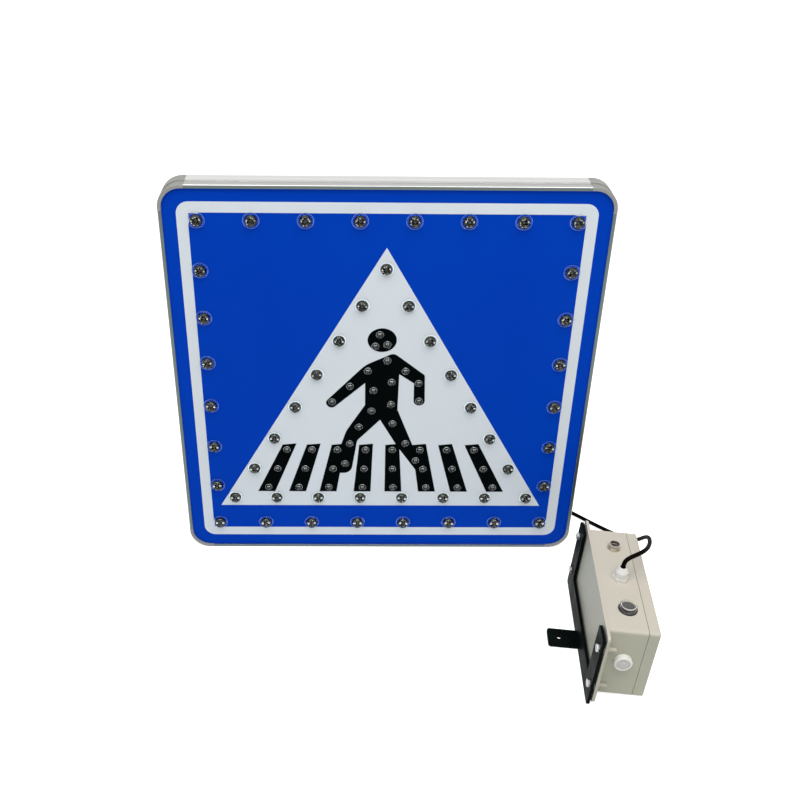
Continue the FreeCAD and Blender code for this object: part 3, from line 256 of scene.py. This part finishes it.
def drawn_aluminium(name, stretch):
    """Bright extrusion with fine lines along its length, painted shade on its front half and a painted
    dark reflection on the forward faces of its lip.
    """
    paint = Painter(name, BAR_TONE, 0.3, metallic=1.0, soften=0.0005)
    lines = paint.noise(60, detail=6, rough=0.65, stretch=stretch)
    cloud = paint.noise(9, detail=3)
    paint.tint(paint.spread(lines, 0.35, 0.7), BAR_LINE_TONE)
    paint.tint(paint.spread(cloud, 0.4, 0.8, 0, 0.35), BAR_CLOUD_TONE)
    depth = paint.along("Object", "Y")
    # Painted shade: the half of the bar in front of the frame's middle depth is darkened.
    paint.tint(paint.spread(depth, -MIDDLE_BLUR, MIDDLE_BLUR, 0.72, 0), BAR_FRONT_SHADE)
    # Painted reflection: forward-facing faces at the lip are darkened as if they mirrored dark
    # surroundings.
    forward = paint.spread(paint.along("Normal", "Y"), -0.95, -0.7, 1, 0)
    at_front = paint.spread(depth, LIP_FRONT_Y, LIP_BACK_Y, 1, 0)
    paint.tint(paint.combine("MULTIPLY", forward, at_front), LIP_DARK_REFLECTION)
    paint.rough(lines, 0.24, 0.42)
    paint.bump(lines, strength=0.25, distance=0.00015)
    return paint.material


def sheet_metal(name, color, worn, roughness):
    """Rolled or plated metal with worn clouds and a fine speckle."""
    paint = Painter(name, color, roughness, metallic=1.0, soften=0.0004)
    cloud = paint.noise(35, detail=5, rough=0.6)
    speck = paint.noise(900, detail=2)
    paint.tint(paint.spread(cloud, 0.35, 0.7), worn)
    paint.rough(cloud, roughness - 0.08, roughness + 0.14)
    paint.bump(speck, strength=0.15, distance=0.0001)
    return paint.material


FILM_GLOSS = 0.02
BLACK_GLOSS = 0.004
FILM_CELLS = 520


def film(name, color, patch, gloss=FILM_GLOSS):
    """Reflective film: glossy skin over a fine grid of cells, with faint wide bands."""
    paint = Painter(name, color, 0.3, gloss=gloss)
    cells = paint.node("ShaderNodeTexVoronoi", Scale=FILM_CELLS)
    cells.feature = "DISTANCE_TO_EDGE"
    paint.link(paint.scaled((1, 0, 1)), cells.inputs["Vector"])
    edge = paint.spread(cells.outputs["Distance"], 0.0, 0.08, 1, 0)
    paint.tint(paint.combine("MULTIPLY", edge, 0.22), patch)
    bands = paint.noise(7, detail=2, stretch=(1, 0, 0.25))
    paint.tint(paint.spread(bands, 0.35, 0.75, 0, 0.3), patch)
    paint.bump(edge, strength=0.08, distance=0.0001)
    paint.bump(paint.noise(14, detail=2), strength=0.06, distance=0.001)
    return paint.material


def moulded(name, color, dirt, roughness, grain=1400, depth=0.25, gloss=0.4, sides=None):
    """Moulded plastic with a fine grain and faint clouds; sides, if given, is painted shade: a darker
    colour for its upright faces.
    """
    paint = Painter(name, color, roughness, gloss=gloss, soften=0.0006)
    # Painted shade: faces that don't look up are tinted towards the sides colour.
    if sides:
        paint.tint(paint.spread(paint.along("Normal", "Z"), 0.35, 0.75, 1, 0), sides)
    fine = paint.noise(grain, detail=3, rough=0.6)
    cloud = paint.noise(18, detail=4, rough=0.6)
    paint.tint(paint.spread(cloud, 0.42, 0.8, 0, 0.5), dirt)
    paint.rough(cloud, roughness - 0.06, roughness + 0.1)
    paint.bump(fine, strength=depth, distance=0.00012)
    return paint.material


def painted_steel(name, color, bare):
    """Dull black paint with an orange-peel skin, thin in places."""
    paint = Painter(name, color, 0.42, gloss=0.015, soften=0.0005)
    orange_peel = paint.noise(650, detail=2)
    cloud = paint.noise(22, detail=5, rough=0.65)
    paint.tint(paint.spread(cloud, 0.5, 0.85, 0, 0.6), bare)
    paint.rough(cloud, 0.35, 0.55)
    paint.bump(orange_peel, strength=0.3, distance=0.0002)
    return paint.material


STUD_ROUGHNESS = 0.006
STUD_IOR = 1.2


def clear(name, color):
    """Clear plastic, with a trace of haze in its surface."""
    paint = Painter(name, color, STUD_ROUGHNESS)
    paint.shader.inputs["Transmission Weight"].default_value = 1.0
    paint.shader.inputs["IOR"].default_value = STUD_IOR
    haze = paint.noise(260, detail=3)
    paint.rough(haze, STUD_ROUGHNESS * 0.6, STUD_ROUGHNESS * 2.0)
    paint.bump(haze, strength=0.02, distance=0.00005)
    paint.lets_light_past()
    return paint.material


def reflector(name, color, glint_streak, roughness, rim=None):
    """Metallised cup, its near-black colour a painted dark reflection, with bright streaks of painted
    glint that run out from the middle of each stud.
    """
    paint = Painter(name, color, roughness, metallic=1.0)
    centred = paint.node("ShaderNodeMapping")
    centred.inputs["Location"].default_value = (-0.5, -0.5, 0)
    paint.link(paint.node("ShaderNodeTexCoord").outputs["UV"], centred.inputs["Vector"])
    around = paint.node("ShaderNodeTexGradient")
    around.gradient_type = "RADIAL"
    paint.link(centred.outputs["Vector"], around.inputs["Vector"])
    rays = paint.node("ShaderNodeTexNoise", Scale=46.0, Detail=3.0)
    rays.noise_dimensions = "1D"
    paint.link(around.outputs["Fac"], rays.inputs["W"])
    # Painted glints: bright radial streaks in the cup's colour.
    paint.tint(paint.spread(rays.outputs["Fac"], 0.58, 0.70), glint_streak)
    if rim:
        reach = paint.node("ShaderNodeVectorMath", operation="LENGTH")
        paint.link(centred.outputs["Vector"], reach.inputs[0])
        paint.tint(paint.spread(reach.outputs["Value"], 0.42, 0.45), rim)
    paint.bump(rays.outputs["Fac"], strength=0.5, distance=0.0002)
    return paint.material


CAP_IOR = 1.42
RIM_START = 0.0095
RIM_END = 0.0100
RIM_BLUR = 0.0004
RIM_DROP = 0.0026
RIM_FADE = 0.0003


def clear_cap(name, node, color, rim):
    """Clear soft cap with a painted highlight, a whitish and less clear ring round its crown, the middle
    of its four highest corners.
    """
    places = [Vector(corner) for corner in NODES[node].bound_box]
    crown = sum(sorted(places, key=lambda place: place.z)[4:], Vector()) / 4
    paint = Painter(name, color, 0.05, gloss=0.3)
    away = paint.distance(crown)
    height = paint.along("Object", "Z")
    # Painted highlight: bead is a whitish ring just below the crown, where the cap is also made less
    # clear.
    bead = paint.combine("MULTIPLY", paint.spread(away, RIM_START, RIM_START + RIM_BLUR),
                         paint.spread(away, RIM_END, RIM_END + RIM_BLUR, 1, 0))
    at_crown = paint.spread(height, crown.z - RIM_DROP, crown.z - RIM_DROP + RIM_FADE)
    bead = paint.combine("MULTIPLY", bead, at_crown)
    paint.tint(bead, rim)
    paint.link(paint.spread(bead, 0, 1, 1, 0.15), paint.shader.inputs["Transmission Weight"])
    paint.shader.inputs["IOR"].default_value = CAP_IOR
    haze = paint.noise(260, detail=3)
    paint.rough(haze, 0.03, 0.1)
    paint.bump(haze, strength=0.02, distance=0.00005)
    paint.lets_light_past()
    return paint.material


LENS_GROOVES = 9000
# LENS_DOT and its radius and edge place a painted highlight on the lens.
LENS_DOT = Vector((0.0005, 0, 0.003))
LENS_DOT_RADIUS = 0.0010
LENS_DOT_EDGE = 0.0016


def ringed_lens(name, node, color, shade, bright):
    """Translucent lens with fine rings round its middle and a painted highlight, a bright dot above it."""
    corners = [Vector(corner) for corner in NODES[node].bound_box]
    centre = sum(corners, Vector()) / len(corners)
    paint = Painter(name, color, 0.25)
    rings = paint.combine("SINE", paint.combine("MULTIPLY", paint.distance(centre), LENS_GROOVES), 0)
    cloud = paint.noise(220, detail=3)
    glint_dot = paint.spread(paint.distance(centre + LENS_DOT), LENS_DOT_RADIUS, LENS_DOT_EDGE, 1, 0)
    paint.tint(paint.spread(cloud, 0.4, 0.75, 0, 0.5), shade)
    paint.tint(paint.spread(rings, -1, 1, 0, 0.25), shade)
    # Painted highlight: a bright dot above the lens's middle.
    paint.tint(glint_dot, bright)
    paint.bump(rings, strength=0.15, distance=0.0001)
    return paint.material


def circuit_board(name, lacquer, track):
    """Green lacquer with square tracks under it."""
    paint = Painter(name, lacquer, 0.35)
    tracks = paint.node("ShaderNodeTexVoronoi", Scale=240)
    tracks.distance = "MANHATTAN"
    paint.link(paint.place, tracks.inputs["Vector"])
    paint.tint(paint.spread(tracks.outputs["Distance"], 0.28, 0.3, 0, 0.6), track)
    paint.bump(tracks.outputs["Distance"], strength=0.1, distance=0.0001)
    return paint.material


ALONG_X = (0.012, 1, 1)
ALONG_Z = (1, 1, 0.012)

FINISHES = {
    "bar_x": drawn_aluminium("bright_aluminium_across", ALONG_X),
    "bar_z": drawn_aluminium("bright_aluminium_upright", ALONG_Z),
    "sheet": sheet_metal("mill_aluminium", (0.64, 0.65, 0.66), (0.59, 0.60, 0.61), 0.38),
    "rail": sheet_metal("drawn_rail", (0.76, 0.77, 0.78), (0.68, 0.69, 0.70), 0.30),
    "zinc": sheet_metal("zinc_steel", (0.52, 0.53, 0.53), (0.42, 0.42, 0.41), 0.30),
    "nickel": sheet_metal("nickel_shell", (0.60, 0.55, 0.49), (0.48, 0.44, 0.38), 0.22),
    "brass": sheet_metal("contact_brass", (0.72, 0.56, 0.26), (0.62, 0.48, 0.24), 0.28),
    "facet": sheet_metal("stud_facet", (0.52, 0.54, 0.54), (0.39, 0.42, 0.40), 0.18),
    "blue": film("blue_reflective", (0.0, 0.045, 0.465), (0.0, 0.064, 0.53)),
    "white": film("white_reflective", (0.72, 0.78, 0.825), (0.64, 0.70, 0.73)),
    "black": film("black_film", (0.0010, 0.0022, 0.0024), (0.003, 0.005, 0.005), BLACK_GLOSS),
    "corner": moulded("grey_corner", (0.29, 0.29, 0.275), (0.24, 0.24, 0.235), 0.5),
    # The shell's sides colour is painted shade, darker and greener on its upright faces than on its top.
    "shell": moulded("off_white_shell", (0.625, 0.58, 0.49), (0.585, 0.545, 0.455), 0.34, gloss=0.025,
                     sides=(0.465, 0.47, 0.38)),
    "nylon": moulded("white_nylon", (0.80, 0.79, 0.75), (0.74, 0.72, 0.66), 0.35, grain=2500, depth=0.12),
    "dark": moulded("black_moulding", (0.012, 0.012, 0.013), (0.03, 0.03, 0.032), 0.4),
    "rubber": moulded("black_rubber", (0.0045, 0.0035, 0.003), (0.010, 0.008, 0.007), 0.42, grain=1800,
                      gloss=0.003),
    "wrap": moulded("pack_wrap", (0.02, 0.08, 0.25), (0.03, 0.10, 0.28), 0.3),
    # Painted highlight: the bluish-grey ring at the edge of each large stud's flange.
    "flange": moulded("stud_flange", (0.33, 0.42, 0.50), (0.26, 0.34, 0.42), 0.3),
    "emitter": moulded("stud_emitter", (0.02, 0.025, 0.022), (0.05, 0.05, 0.03), 0.15),
    "steel_black": painted_steel("black_steel", (0.003, 0.005, 0.0045), (0.009, 0.012, 0.011)),
    "board": circuit_board("board_lacquer", (0.02, 0.11, 0.05), (0.05, 0.24, 0.10)),
    "clear": clear("clear_lens", (0.96, 0.98, 0.98)),
    # The cups' near-black colours are painted dark reflection, and their streak colours are painted
    # glints.
    "cup": reflector("stud_reflector", (0.036, 0.038, 0.033), (0.24, 0.24, 0.21), 0.22),
    "cup_small": reflector("bead_reflector", (0.008, 0.009, 0.009), (0.07, 0.075, 0.075), 0.25,
                           rim=(0.22, 0.23, 0.23)),
    # The boot's rim colour is a painted highlight.
    "boot": clear_cap("clear_boot", "switch_boot", (0.93, 0.92, 0.88), rim=(0.80, 0.79, 0.76)),
    "opal": ringed_lens("grey_lens", "sensor_lens", (0.52, 0.53, 0.50), shade=(0.44, 0.45, 0.42),
                        bright=(0.92, 0.92, 0.9)),
}

FINISHED_NODES = {
    "bar_x": ("frame_bottom", "frame_top"),
    "bar_z": ("frame_left", "frame_right"),
    "corner": ("corner_bottom_left", "corner_top_left", "corner_top_right", "corner_bottom_right"),
    "sheet": ("face_sheet", "back_sheet"),
    "rail": ("lower_rail", "upper_rail", "rail_rivets"),
    "blue": ("blue_film",),
    "white": ("border_strips", "border_corners", "triangle_film"),
    "black": ("figure_film", "stripe_film"),
    "board": ("border_boards", "triangle_board", "figure_board", "controller_board"),
    "shell": ("box_base", "box_lid"),
    "nylon": ("sign_gland_body", "sign_gland_cap", "sign_gland_nut", "box_gland_body", "box_gland_cap",
              "box_gland_nut", "sensor_body", "sensor_nut", "terminal_block", "board_posts"),
    "nickel": ("socket_shell", "socket_nut"),
    "dark": ("socket_insert", "switch_body", "switch_nut", "switch_button"),
    "boot": ("switch_boot",),
    "opal": ("sensor_lens",),
    "rubber": ("sign_gland_seal", "box_gland_seal", "lid_gasket"),
    "steel_black": ("mounting_bracket",),
    "zinc": ("bracket_screws", "lid_screws", "battery_strap"),
    "brass": ("socket_contacts",),
    "wrap": ("battery_pack",),
    "clear": ("border_leds", "triangle_leds", "figure_leds", "stripe_leds"),
}


def paint_object(obj, material):
    obj.data.materials.clear()
    obj.data.materials.append(material)


for finish, names in FINISHED_NODES.items():
    for name in names:
        for material_slot in NODES[name].material_slots:
            material_slot.material = FINISHES[finish]
paint_object(cable, FINISHES["rubber"])


# Light studs: a clear lens over a petalled reflector and its emitter, turned from (radius, height) points

LARGE_LENS = (
    (0.01130, 0.0001), (0.01130, 0.0004), (0.01125, 0.00052), (0.01115, 0.0006), (0.01105, 0.00062),
    (0.01060, 0.00065), (0.00905, 0.0008), (0.00890, 0.00085), (0.00880, 0.0011), (0.00875, 0.0013),
    (0.00745, 0.0056), (0.00735, 0.0060), (0.00710, 0.0063), (0.00675, 0.00645), (0.00630, 0.0065),
    (0.00610, 0.0065), (0.0010, 0.00655),
)
LARGE_CUP = (
    (0.0022, 0.0010), (0.0030, 0.0019), (0.0041, 0.0031), (0.0052, 0.0042), (0.0060, 0.0050),
    (0.0064, 0.0052), (0.0069, 0.0048), (0.0079, 0.0014), (0.0081, 0.0005),
)
LARGE_EMITTER = ((0.0026, 0.0006), (0.0024, 0.0014), (0.0017, 0.0021), (0.0007, 0.0024))
LARGE_LENS_SIDES = 48
LARGE_CUP_SIDES = 96
LARGE_EMITTER_SIDES = 24
# FLANGE_EDGE is an opaque ring inside the clear flange; its bluish-grey colour is a painted highlight
# along the flange's outer edge.
FLANGE_EDGE = ((0.01080, 0.00045), (0.01122, 0.00045))

SMALL_FLANGE = ((0.0060, 0.0001), (0.0060, 0.0006), (0.0058, 0.0009), (0.0053, 0.0010), (0.0050, 0.0011))
SMALL_CUP = (
    (0.0021, 0.0004), (0.0030, 0.0006), (0.0040, 0.0008), (0.0047, 0.0009), (0.0051, 0.0009),
    (0.0054, 0.0008), (0.0056, 0.0004),
)
SMALL_EMITTER = ((0.0024, 0.0003), (0.0022, 0.0008), (0.0014, 0.0012), (0.0005, 0.0013))
SMALL_LENS_SIDES = 40
SMALL_CUP_SIDES = 64
SMALL_EMITTER_SIDES = 20
DOME_RADIUS = 0.0047
DOME_FOOT = 0.0012
DOME_TOP = 0.0036
DOME_STEPS = 9

PETALS = 8
PETAL_DEPTH = 0.10
PETAL_RINGS = 5
# Each stud's petals are turned from the last one's by the golden angle, so that no two near ones match.
STUD_TURN = 2.4

# Facets stand at these angles in degrees, sway a little from stud to stud, and every third is missing.
SIGN_TOP = cad_box[1][2]
FACET_ANGLES = (25, 58, 92, 127, 157, 206, 238)
FACET_SWAY = 9
FACET_MISSING = 3
FACET_REACH = 0.0056
FACET_HEIGHT = 0.0057
FACET_SIZE = 0.0008
FACET_SHRINK = 0.6
FACET_SIDES = 8
SIDE_ANGLES = (14, 166)
SIDE_SWAY = 8
SIDE_LEAN = math.radians(10)
SIDE_SIZE = 0.0008
SIDE_GROWTH = 0.0013
POSTS = ((-0.0013, 0.0022), (0.0012, 0.0024))
POST_SIZE = 0.0009
POST_HEIGHT = 0.0019

LENS, CUP, EMITTER, FACET, FLANGE = range(5)
SAME_PLACE = 1e-6


def dome(radius, foot, top, steps):
    """Points (radius, height) of a round dome between two heights, from its edge to near its middle."""
    rise = top - foot
    ball = (radius ** 2 + rise ** 2) / (2 * rise)
    edge = math.asin(radius / ball)
    points = []
    for k in range(steps):
        angle = edge * (1 - k / steps)
        points.append((ball * math.sin(angle), top - ball * (1 - math.cos(angle))))
    return tuple(points)


SMALL_LENS = SMALL_FLANGE + dome(DOME_RADIUS, DOME_FOOT, DOME_TOP, DOME_STEPS)


class StudParts:
    """Gathers the parts of all the studs in a group into one mesh, with a material for each kind."""

    def __init__(self, materials):
        self.materials = materials
        self.vertices = []
        self.faces = []
        self.kinds = []
        self.smooth = []
        self.places = []

    def turned(self, profile, centre, kind, sides, start=0.0, petals=0, capped=True):
        """Turns (radius, height) points round the axis that comes out of the sign's face."""
        first = len(self.vertices)
        widest = max(radius for radius, _ in profile)
        for ring, (radius, height) in enumerate(profile):
            depth = PETAL_DEPTH if petals and ring < PETAL_RINGS else 0.0
            for k in range(sides):
                angle = start + 2 * math.pi * k / sides
                reach = radius * (1 - depth * (0.5 + 0.5 * math.cos(petals * (angle - start))))
                x = reach * math.cos(angle)
                z = reach * math.sin(angle)
                self.vertices.append((centre.x + x, centre.y - height, centre.z + z))
                self.places.append((0.5 + x / widest / 2, 0.5 + z / widest / 2))
        walls = []
        for ring in range(len(profile) - 1):
            low = first + ring * sides
            for k in range(sides):
                after = (k + 1) % sides
                walls.append((low + k, low + after, low + sides + after, low + sides + k))
        last = first + (len(profile) - 1) * sides
        caps = []
        if capped:
            caps = [tuple(range(first + sides - 1, first - 1, -1)), tuple(range(last, last + sides))]
        self.faces += walls + caps
        self.kinds += [kind] * len(walls + caps)
        self.smooth += [True] * len(walls) + [False] * len(caps)

    def plate(self, centre, angle, reach, height, size, lean=0.0):
        """A small round facet at an angle and reach from a stud's axis, leaning towards it."""
        first = len(self.vertices)
        for k in range(FACET_SIDES):
            turn = 2 * math.pi * k / FACET_SIDES
            out = reach + size * math.cos(turn) * math.cos(lean)
            up = height + size * math.cos(turn) * math.sin(lean)
            across = size * math.sin(turn)
            x = out * math.cos(angle) - across * math.sin(angle)
            z = out * math.sin(angle) + across * math.cos(angle)
            self.vertices.append((centre.x + x, centre.y - up, centre.z + z))
            self.places.append((0.5, 0.5))
        self.faces.append(tuple(range(first, first + FACET_SIDES)))
        self.kinds.append(FACET)
        self.smooth.append(False)

    def facets(self, centre, number):
        """Bright facets round a large stud's cup; lower studs show more of the ones at their sides."""
        low = 1 - centre.z / SIGN_TOP
        for k, degrees in enumerate(FACET_ANGLES):
            if (number + k) % FACET_MISSING:
                angle = math.radians(degrees + FACET_SWAY * math.sin(number + k))
                self.plate(centre, angle, FACET_REACH, FACET_HEIGHT, FACET_SIZE * (1 - FACET_SHRINK * low))
        growth = SIDE_GROWTH * low
        side_reach = FACET_REACH - growth / 2
        side_height = FACET_HEIGHT - growth / 2
        for degrees in SIDE_ANGLES:
            angle = math.radians(degrees + SIDE_SWAY * math.sin(number))
            self.plate(centre, angle, side_reach, side_height, SIDE_SIZE + growth, SIDE_LEAN)

    def large_stud(self, centre, number, turn):
        self.turned(LARGE_LENS, centre, LENS, LARGE_LENS_SIDES)
        self.turned(LARGE_CUP, centre, CUP, LARGE_CUP_SIDES, turn, PETALS, capped=False)
        self.turned(LARGE_EMITTER, centre, EMITTER, LARGE_EMITTER_SIDES)
        self.turned(FLANGE_EDGE, centre, FLANGE, LARGE_LENS_SIDES, capped=False)
        self.facets(centre, number)

    def small_stud(self, centre, turn):
        self.turned(SMALL_LENS, centre, LENS, SMALL_LENS_SIDES)
        self.turned(SMALL_CUP, centre, CUP, SMALL_CUP_SIDES, turn, PETALS, capped=False)
        self.turned(SMALL_EMITTER, centre, EMITTER, SMALL_EMITTER_SIDES)
        for x, z in POSTS:
            self.plate(centre, math.atan2(z, x), math.hypot(x, z), POST_HEIGHT, POST_SIZE)

    def build(self, name):
        mesh = bpy.data.meshes.new(name)
        mesh.from_pydata(self.vertices, [], self.faces)
        for material in self.materials:
            mesh.materials.append(material)
        mesh.polygons.foreach_set("material_index", self.kinds)
        mesh.polygons.foreach_set("use_smooth", self.smooth)
        layer = mesh.uv_layers.new(name="stud")
        for loop in mesh.loops:
            layer.data[loop.index].uv = self.places[loop.vertex_index]
        obj = bpy.data.objects.new(name, mesh)
        bpy.context.collection.objects.link(obj)
        return obj


def stud_centres(node):
    """Middle of each stud's foot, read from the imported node's separate solids, row by row from below."""
    work = bmesh.new()
    work.from_mesh(NODES[node].data)
    work.transform(NODES[node].matrix_world)
    bmesh.ops.remove_doubles(work, verts=work.verts, dist=SAME_PLACE)
    left = set(work.verts)
    centres = []
    while left:
        island = []
        edge = [left.pop()]
        while edge:
            vertex = edge.pop()
            island.append(vertex.co.copy())
            for link in vertex.link_edges:
                other = link.other_vert(vertex)
                if other in left:
                    left.remove(other)
                    edge.append(other)
        xs = [co.x for co in island]
        ys = [co.y for co in island]
        zs = [co.z for co in island]
        centres.append(Vector(((min(xs) + max(xs)) / 2, max(ys), (min(zs) + max(zs)) / 2)))
    work.free()
    return sorted(centres, key=lambda centre: (round(centre.z, 4), centre.x))


def add_studs(node, large):
    cup = FINISHES["cup"] if large else FINISHES["cup_small"]
    parts = StudParts([FINISHES["clear"], cup, FINISHES["emitter"], FINISHES["facet"], FINISHES["flange"]])
    for number, centre in enumerate(stud_centres(node)):
        if large:
            parts.large_stud(centre, number, number * STUD_TURN)
        else:
            parts.small_stud(centre, number * STUD_TURN)
    obj = parts.build(node + "_lit")
    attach(obj, ROOT)
    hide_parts(node)


for led_node in ("border_leds", "triangle_leds"):
    add_studs(led_node, large=True)
for led_node in ("figure_leds", "stripe_leds"):
    add_studs(led_node, large=False)


# Floor, background and light

FLOOR_SIZE = 24.0
FLOOR_PLACE = (0, 4, 0)
FLOOR_WHITE = 0.86
FLOOR_GLOW = 0.75
SKY_STRENGTH = 0.36
WHITE = (1, 1, 1, 1)
BACKGROUND_RAYS = ("Is Camera Ray", "Is Transmission Ray", "Is Glossy Ray")
OVERHEAD_SIZE = (1.3, 1.3)
OVERHEAD_WATTS = 26
FRONT_SIZE = (1.6, 1.2)
FRONT_WATTS = 5


def background_ray(tree):
    """One where the ray is of a kind that shows the bright background, otherwise nought."""
    path = tree.nodes.new("ShaderNodeLightPath")
    seen = path.outputs[BACKGROUND_RAYS[0]]
    for kind in BACKGROUND_RAYS[1:]:
        either = tree.nodes.new("ShaderNodeMath")
        either.operation = "MAXIMUM"
        tree.links.new(seen, either.inputs[0])
        tree.links.new(path.outputs[kind], either.inputs[1])
        seen = either.outputs[0]
    return seen


def add_floor():
    """Pale paper that keeps the object's shadow, and glows only for the rays that show the background."""
    bpy.ops.mesh.primitive_plane_add(size=FLOOR_SIZE, location=FLOOR_PLACE)
    floor = bpy.context.object
    floor.name = "floor"
    material = bpy.data.materials.new("floor_paper")
    material.use_nodes = True
    tree = material.node_tree
    shader = tree.nodes["Principled BSDF"]
    shader.inputs["Base Color"].default_value = (FLOOR_WHITE, FLOOR_WHITE, FLOOR_WHITE, 1)
    shader.inputs["Roughness"].default_value = 0.9
    shader.inputs["Specular IOR Level"].default_value = 0.0
    glow = tree.nodes.new("ShaderNodeEmission")
    glow.inputs["Strength"].default_value = FLOOR_GLOW
    black = tree.nodes.new("ShaderNodeEmission")
    black.inputs["Strength"].default_value = 0.0
    pick = tree.nodes.new("ShaderNodeMixShader")
    tree.links.new(background_ray(tree), pick.inputs[0])
    tree.links.new(black.outputs[0], pick.inputs[1])
    tree.links.new(glow.outputs[0], pick.inputs[2])
    add = tree.nodes.new("ShaderNodeAddShader")
    tree.links.new(shader.outputs[0], add.inputs[0])
    tree.links.new(pick.outputs[0], add.inputs[1])
    tree.links.new(add.outputs[0], tree.nodes["Material Output"].inputs["Surface"])
    paint_object(floor, material)


def add_world():
    """Plain soft light from all round, and white wherever the background itself is seen."""
    world = bpy.data.worlds.new("studio")
    bpy.context.scene.world = world
    world.use_nodes = True
    tree = world.node_tree
    light = tree.nodes["Background"]
    light.inputs["Color"].default_value = WHITE
    light.inputs["Strength"].default_value = SKY_STRENGTH
    white = tree.nodes.new("ShaderNodeBackground")
    white.inputs["Color"].default_value = WHITE
    white.inputs["Strength"].default_value = 1.0
    pick = tree.nodes.new("ShaderNodeMixShader")
    tree.links.new(background_ray(tree), pick.inputs[0])
    tree.links.new(light.outputs[0], pick.inputs[1])
    tree.links.new(white.outputs[0], pick.inputs[2])
    tree.links.new(pick.outputs[0], tree.nodes["World Output"].inputs["Surface"])


def add_softbox(name, place, target, size, watts):
    light = bpy.data.lights.new(name, "AREA")
    light.shape = "RECTANGLE"
    light.size, light.size_y = size
    light.energy = watts
    obj = bpy.data.objects.new(name, light)
    bpy.context.collection.objects.link(obj)
    aim = (Vector(target) - Vector(place)).to_track_quat("-Z", "Y")
    obj.matrix_world = Matrix.Translation(place) @ aim.to_matrix().to_4x4()


add_floor()
add_world()
add_softbox("overhead_left", (-0.6, -0.9, 2.5), (0.0, 0.0, 0.2), OVERHEAD_SIZE, OVERHEAD_WATTS)
add_softbox("overhead_right", (0.8, -0.9, 2.5), (0.2, 0.0, 0.2), OVERHEAD_SIZE, OVERHEAD_WATTS)
add_softbox("front", (0.0, -3.0, 1.6), (0.0, 0.0, 0.3), FRONT_SIZE, FRONT_WATTS)
bpy.context.scene.view_settings.view_transform = "Standard"
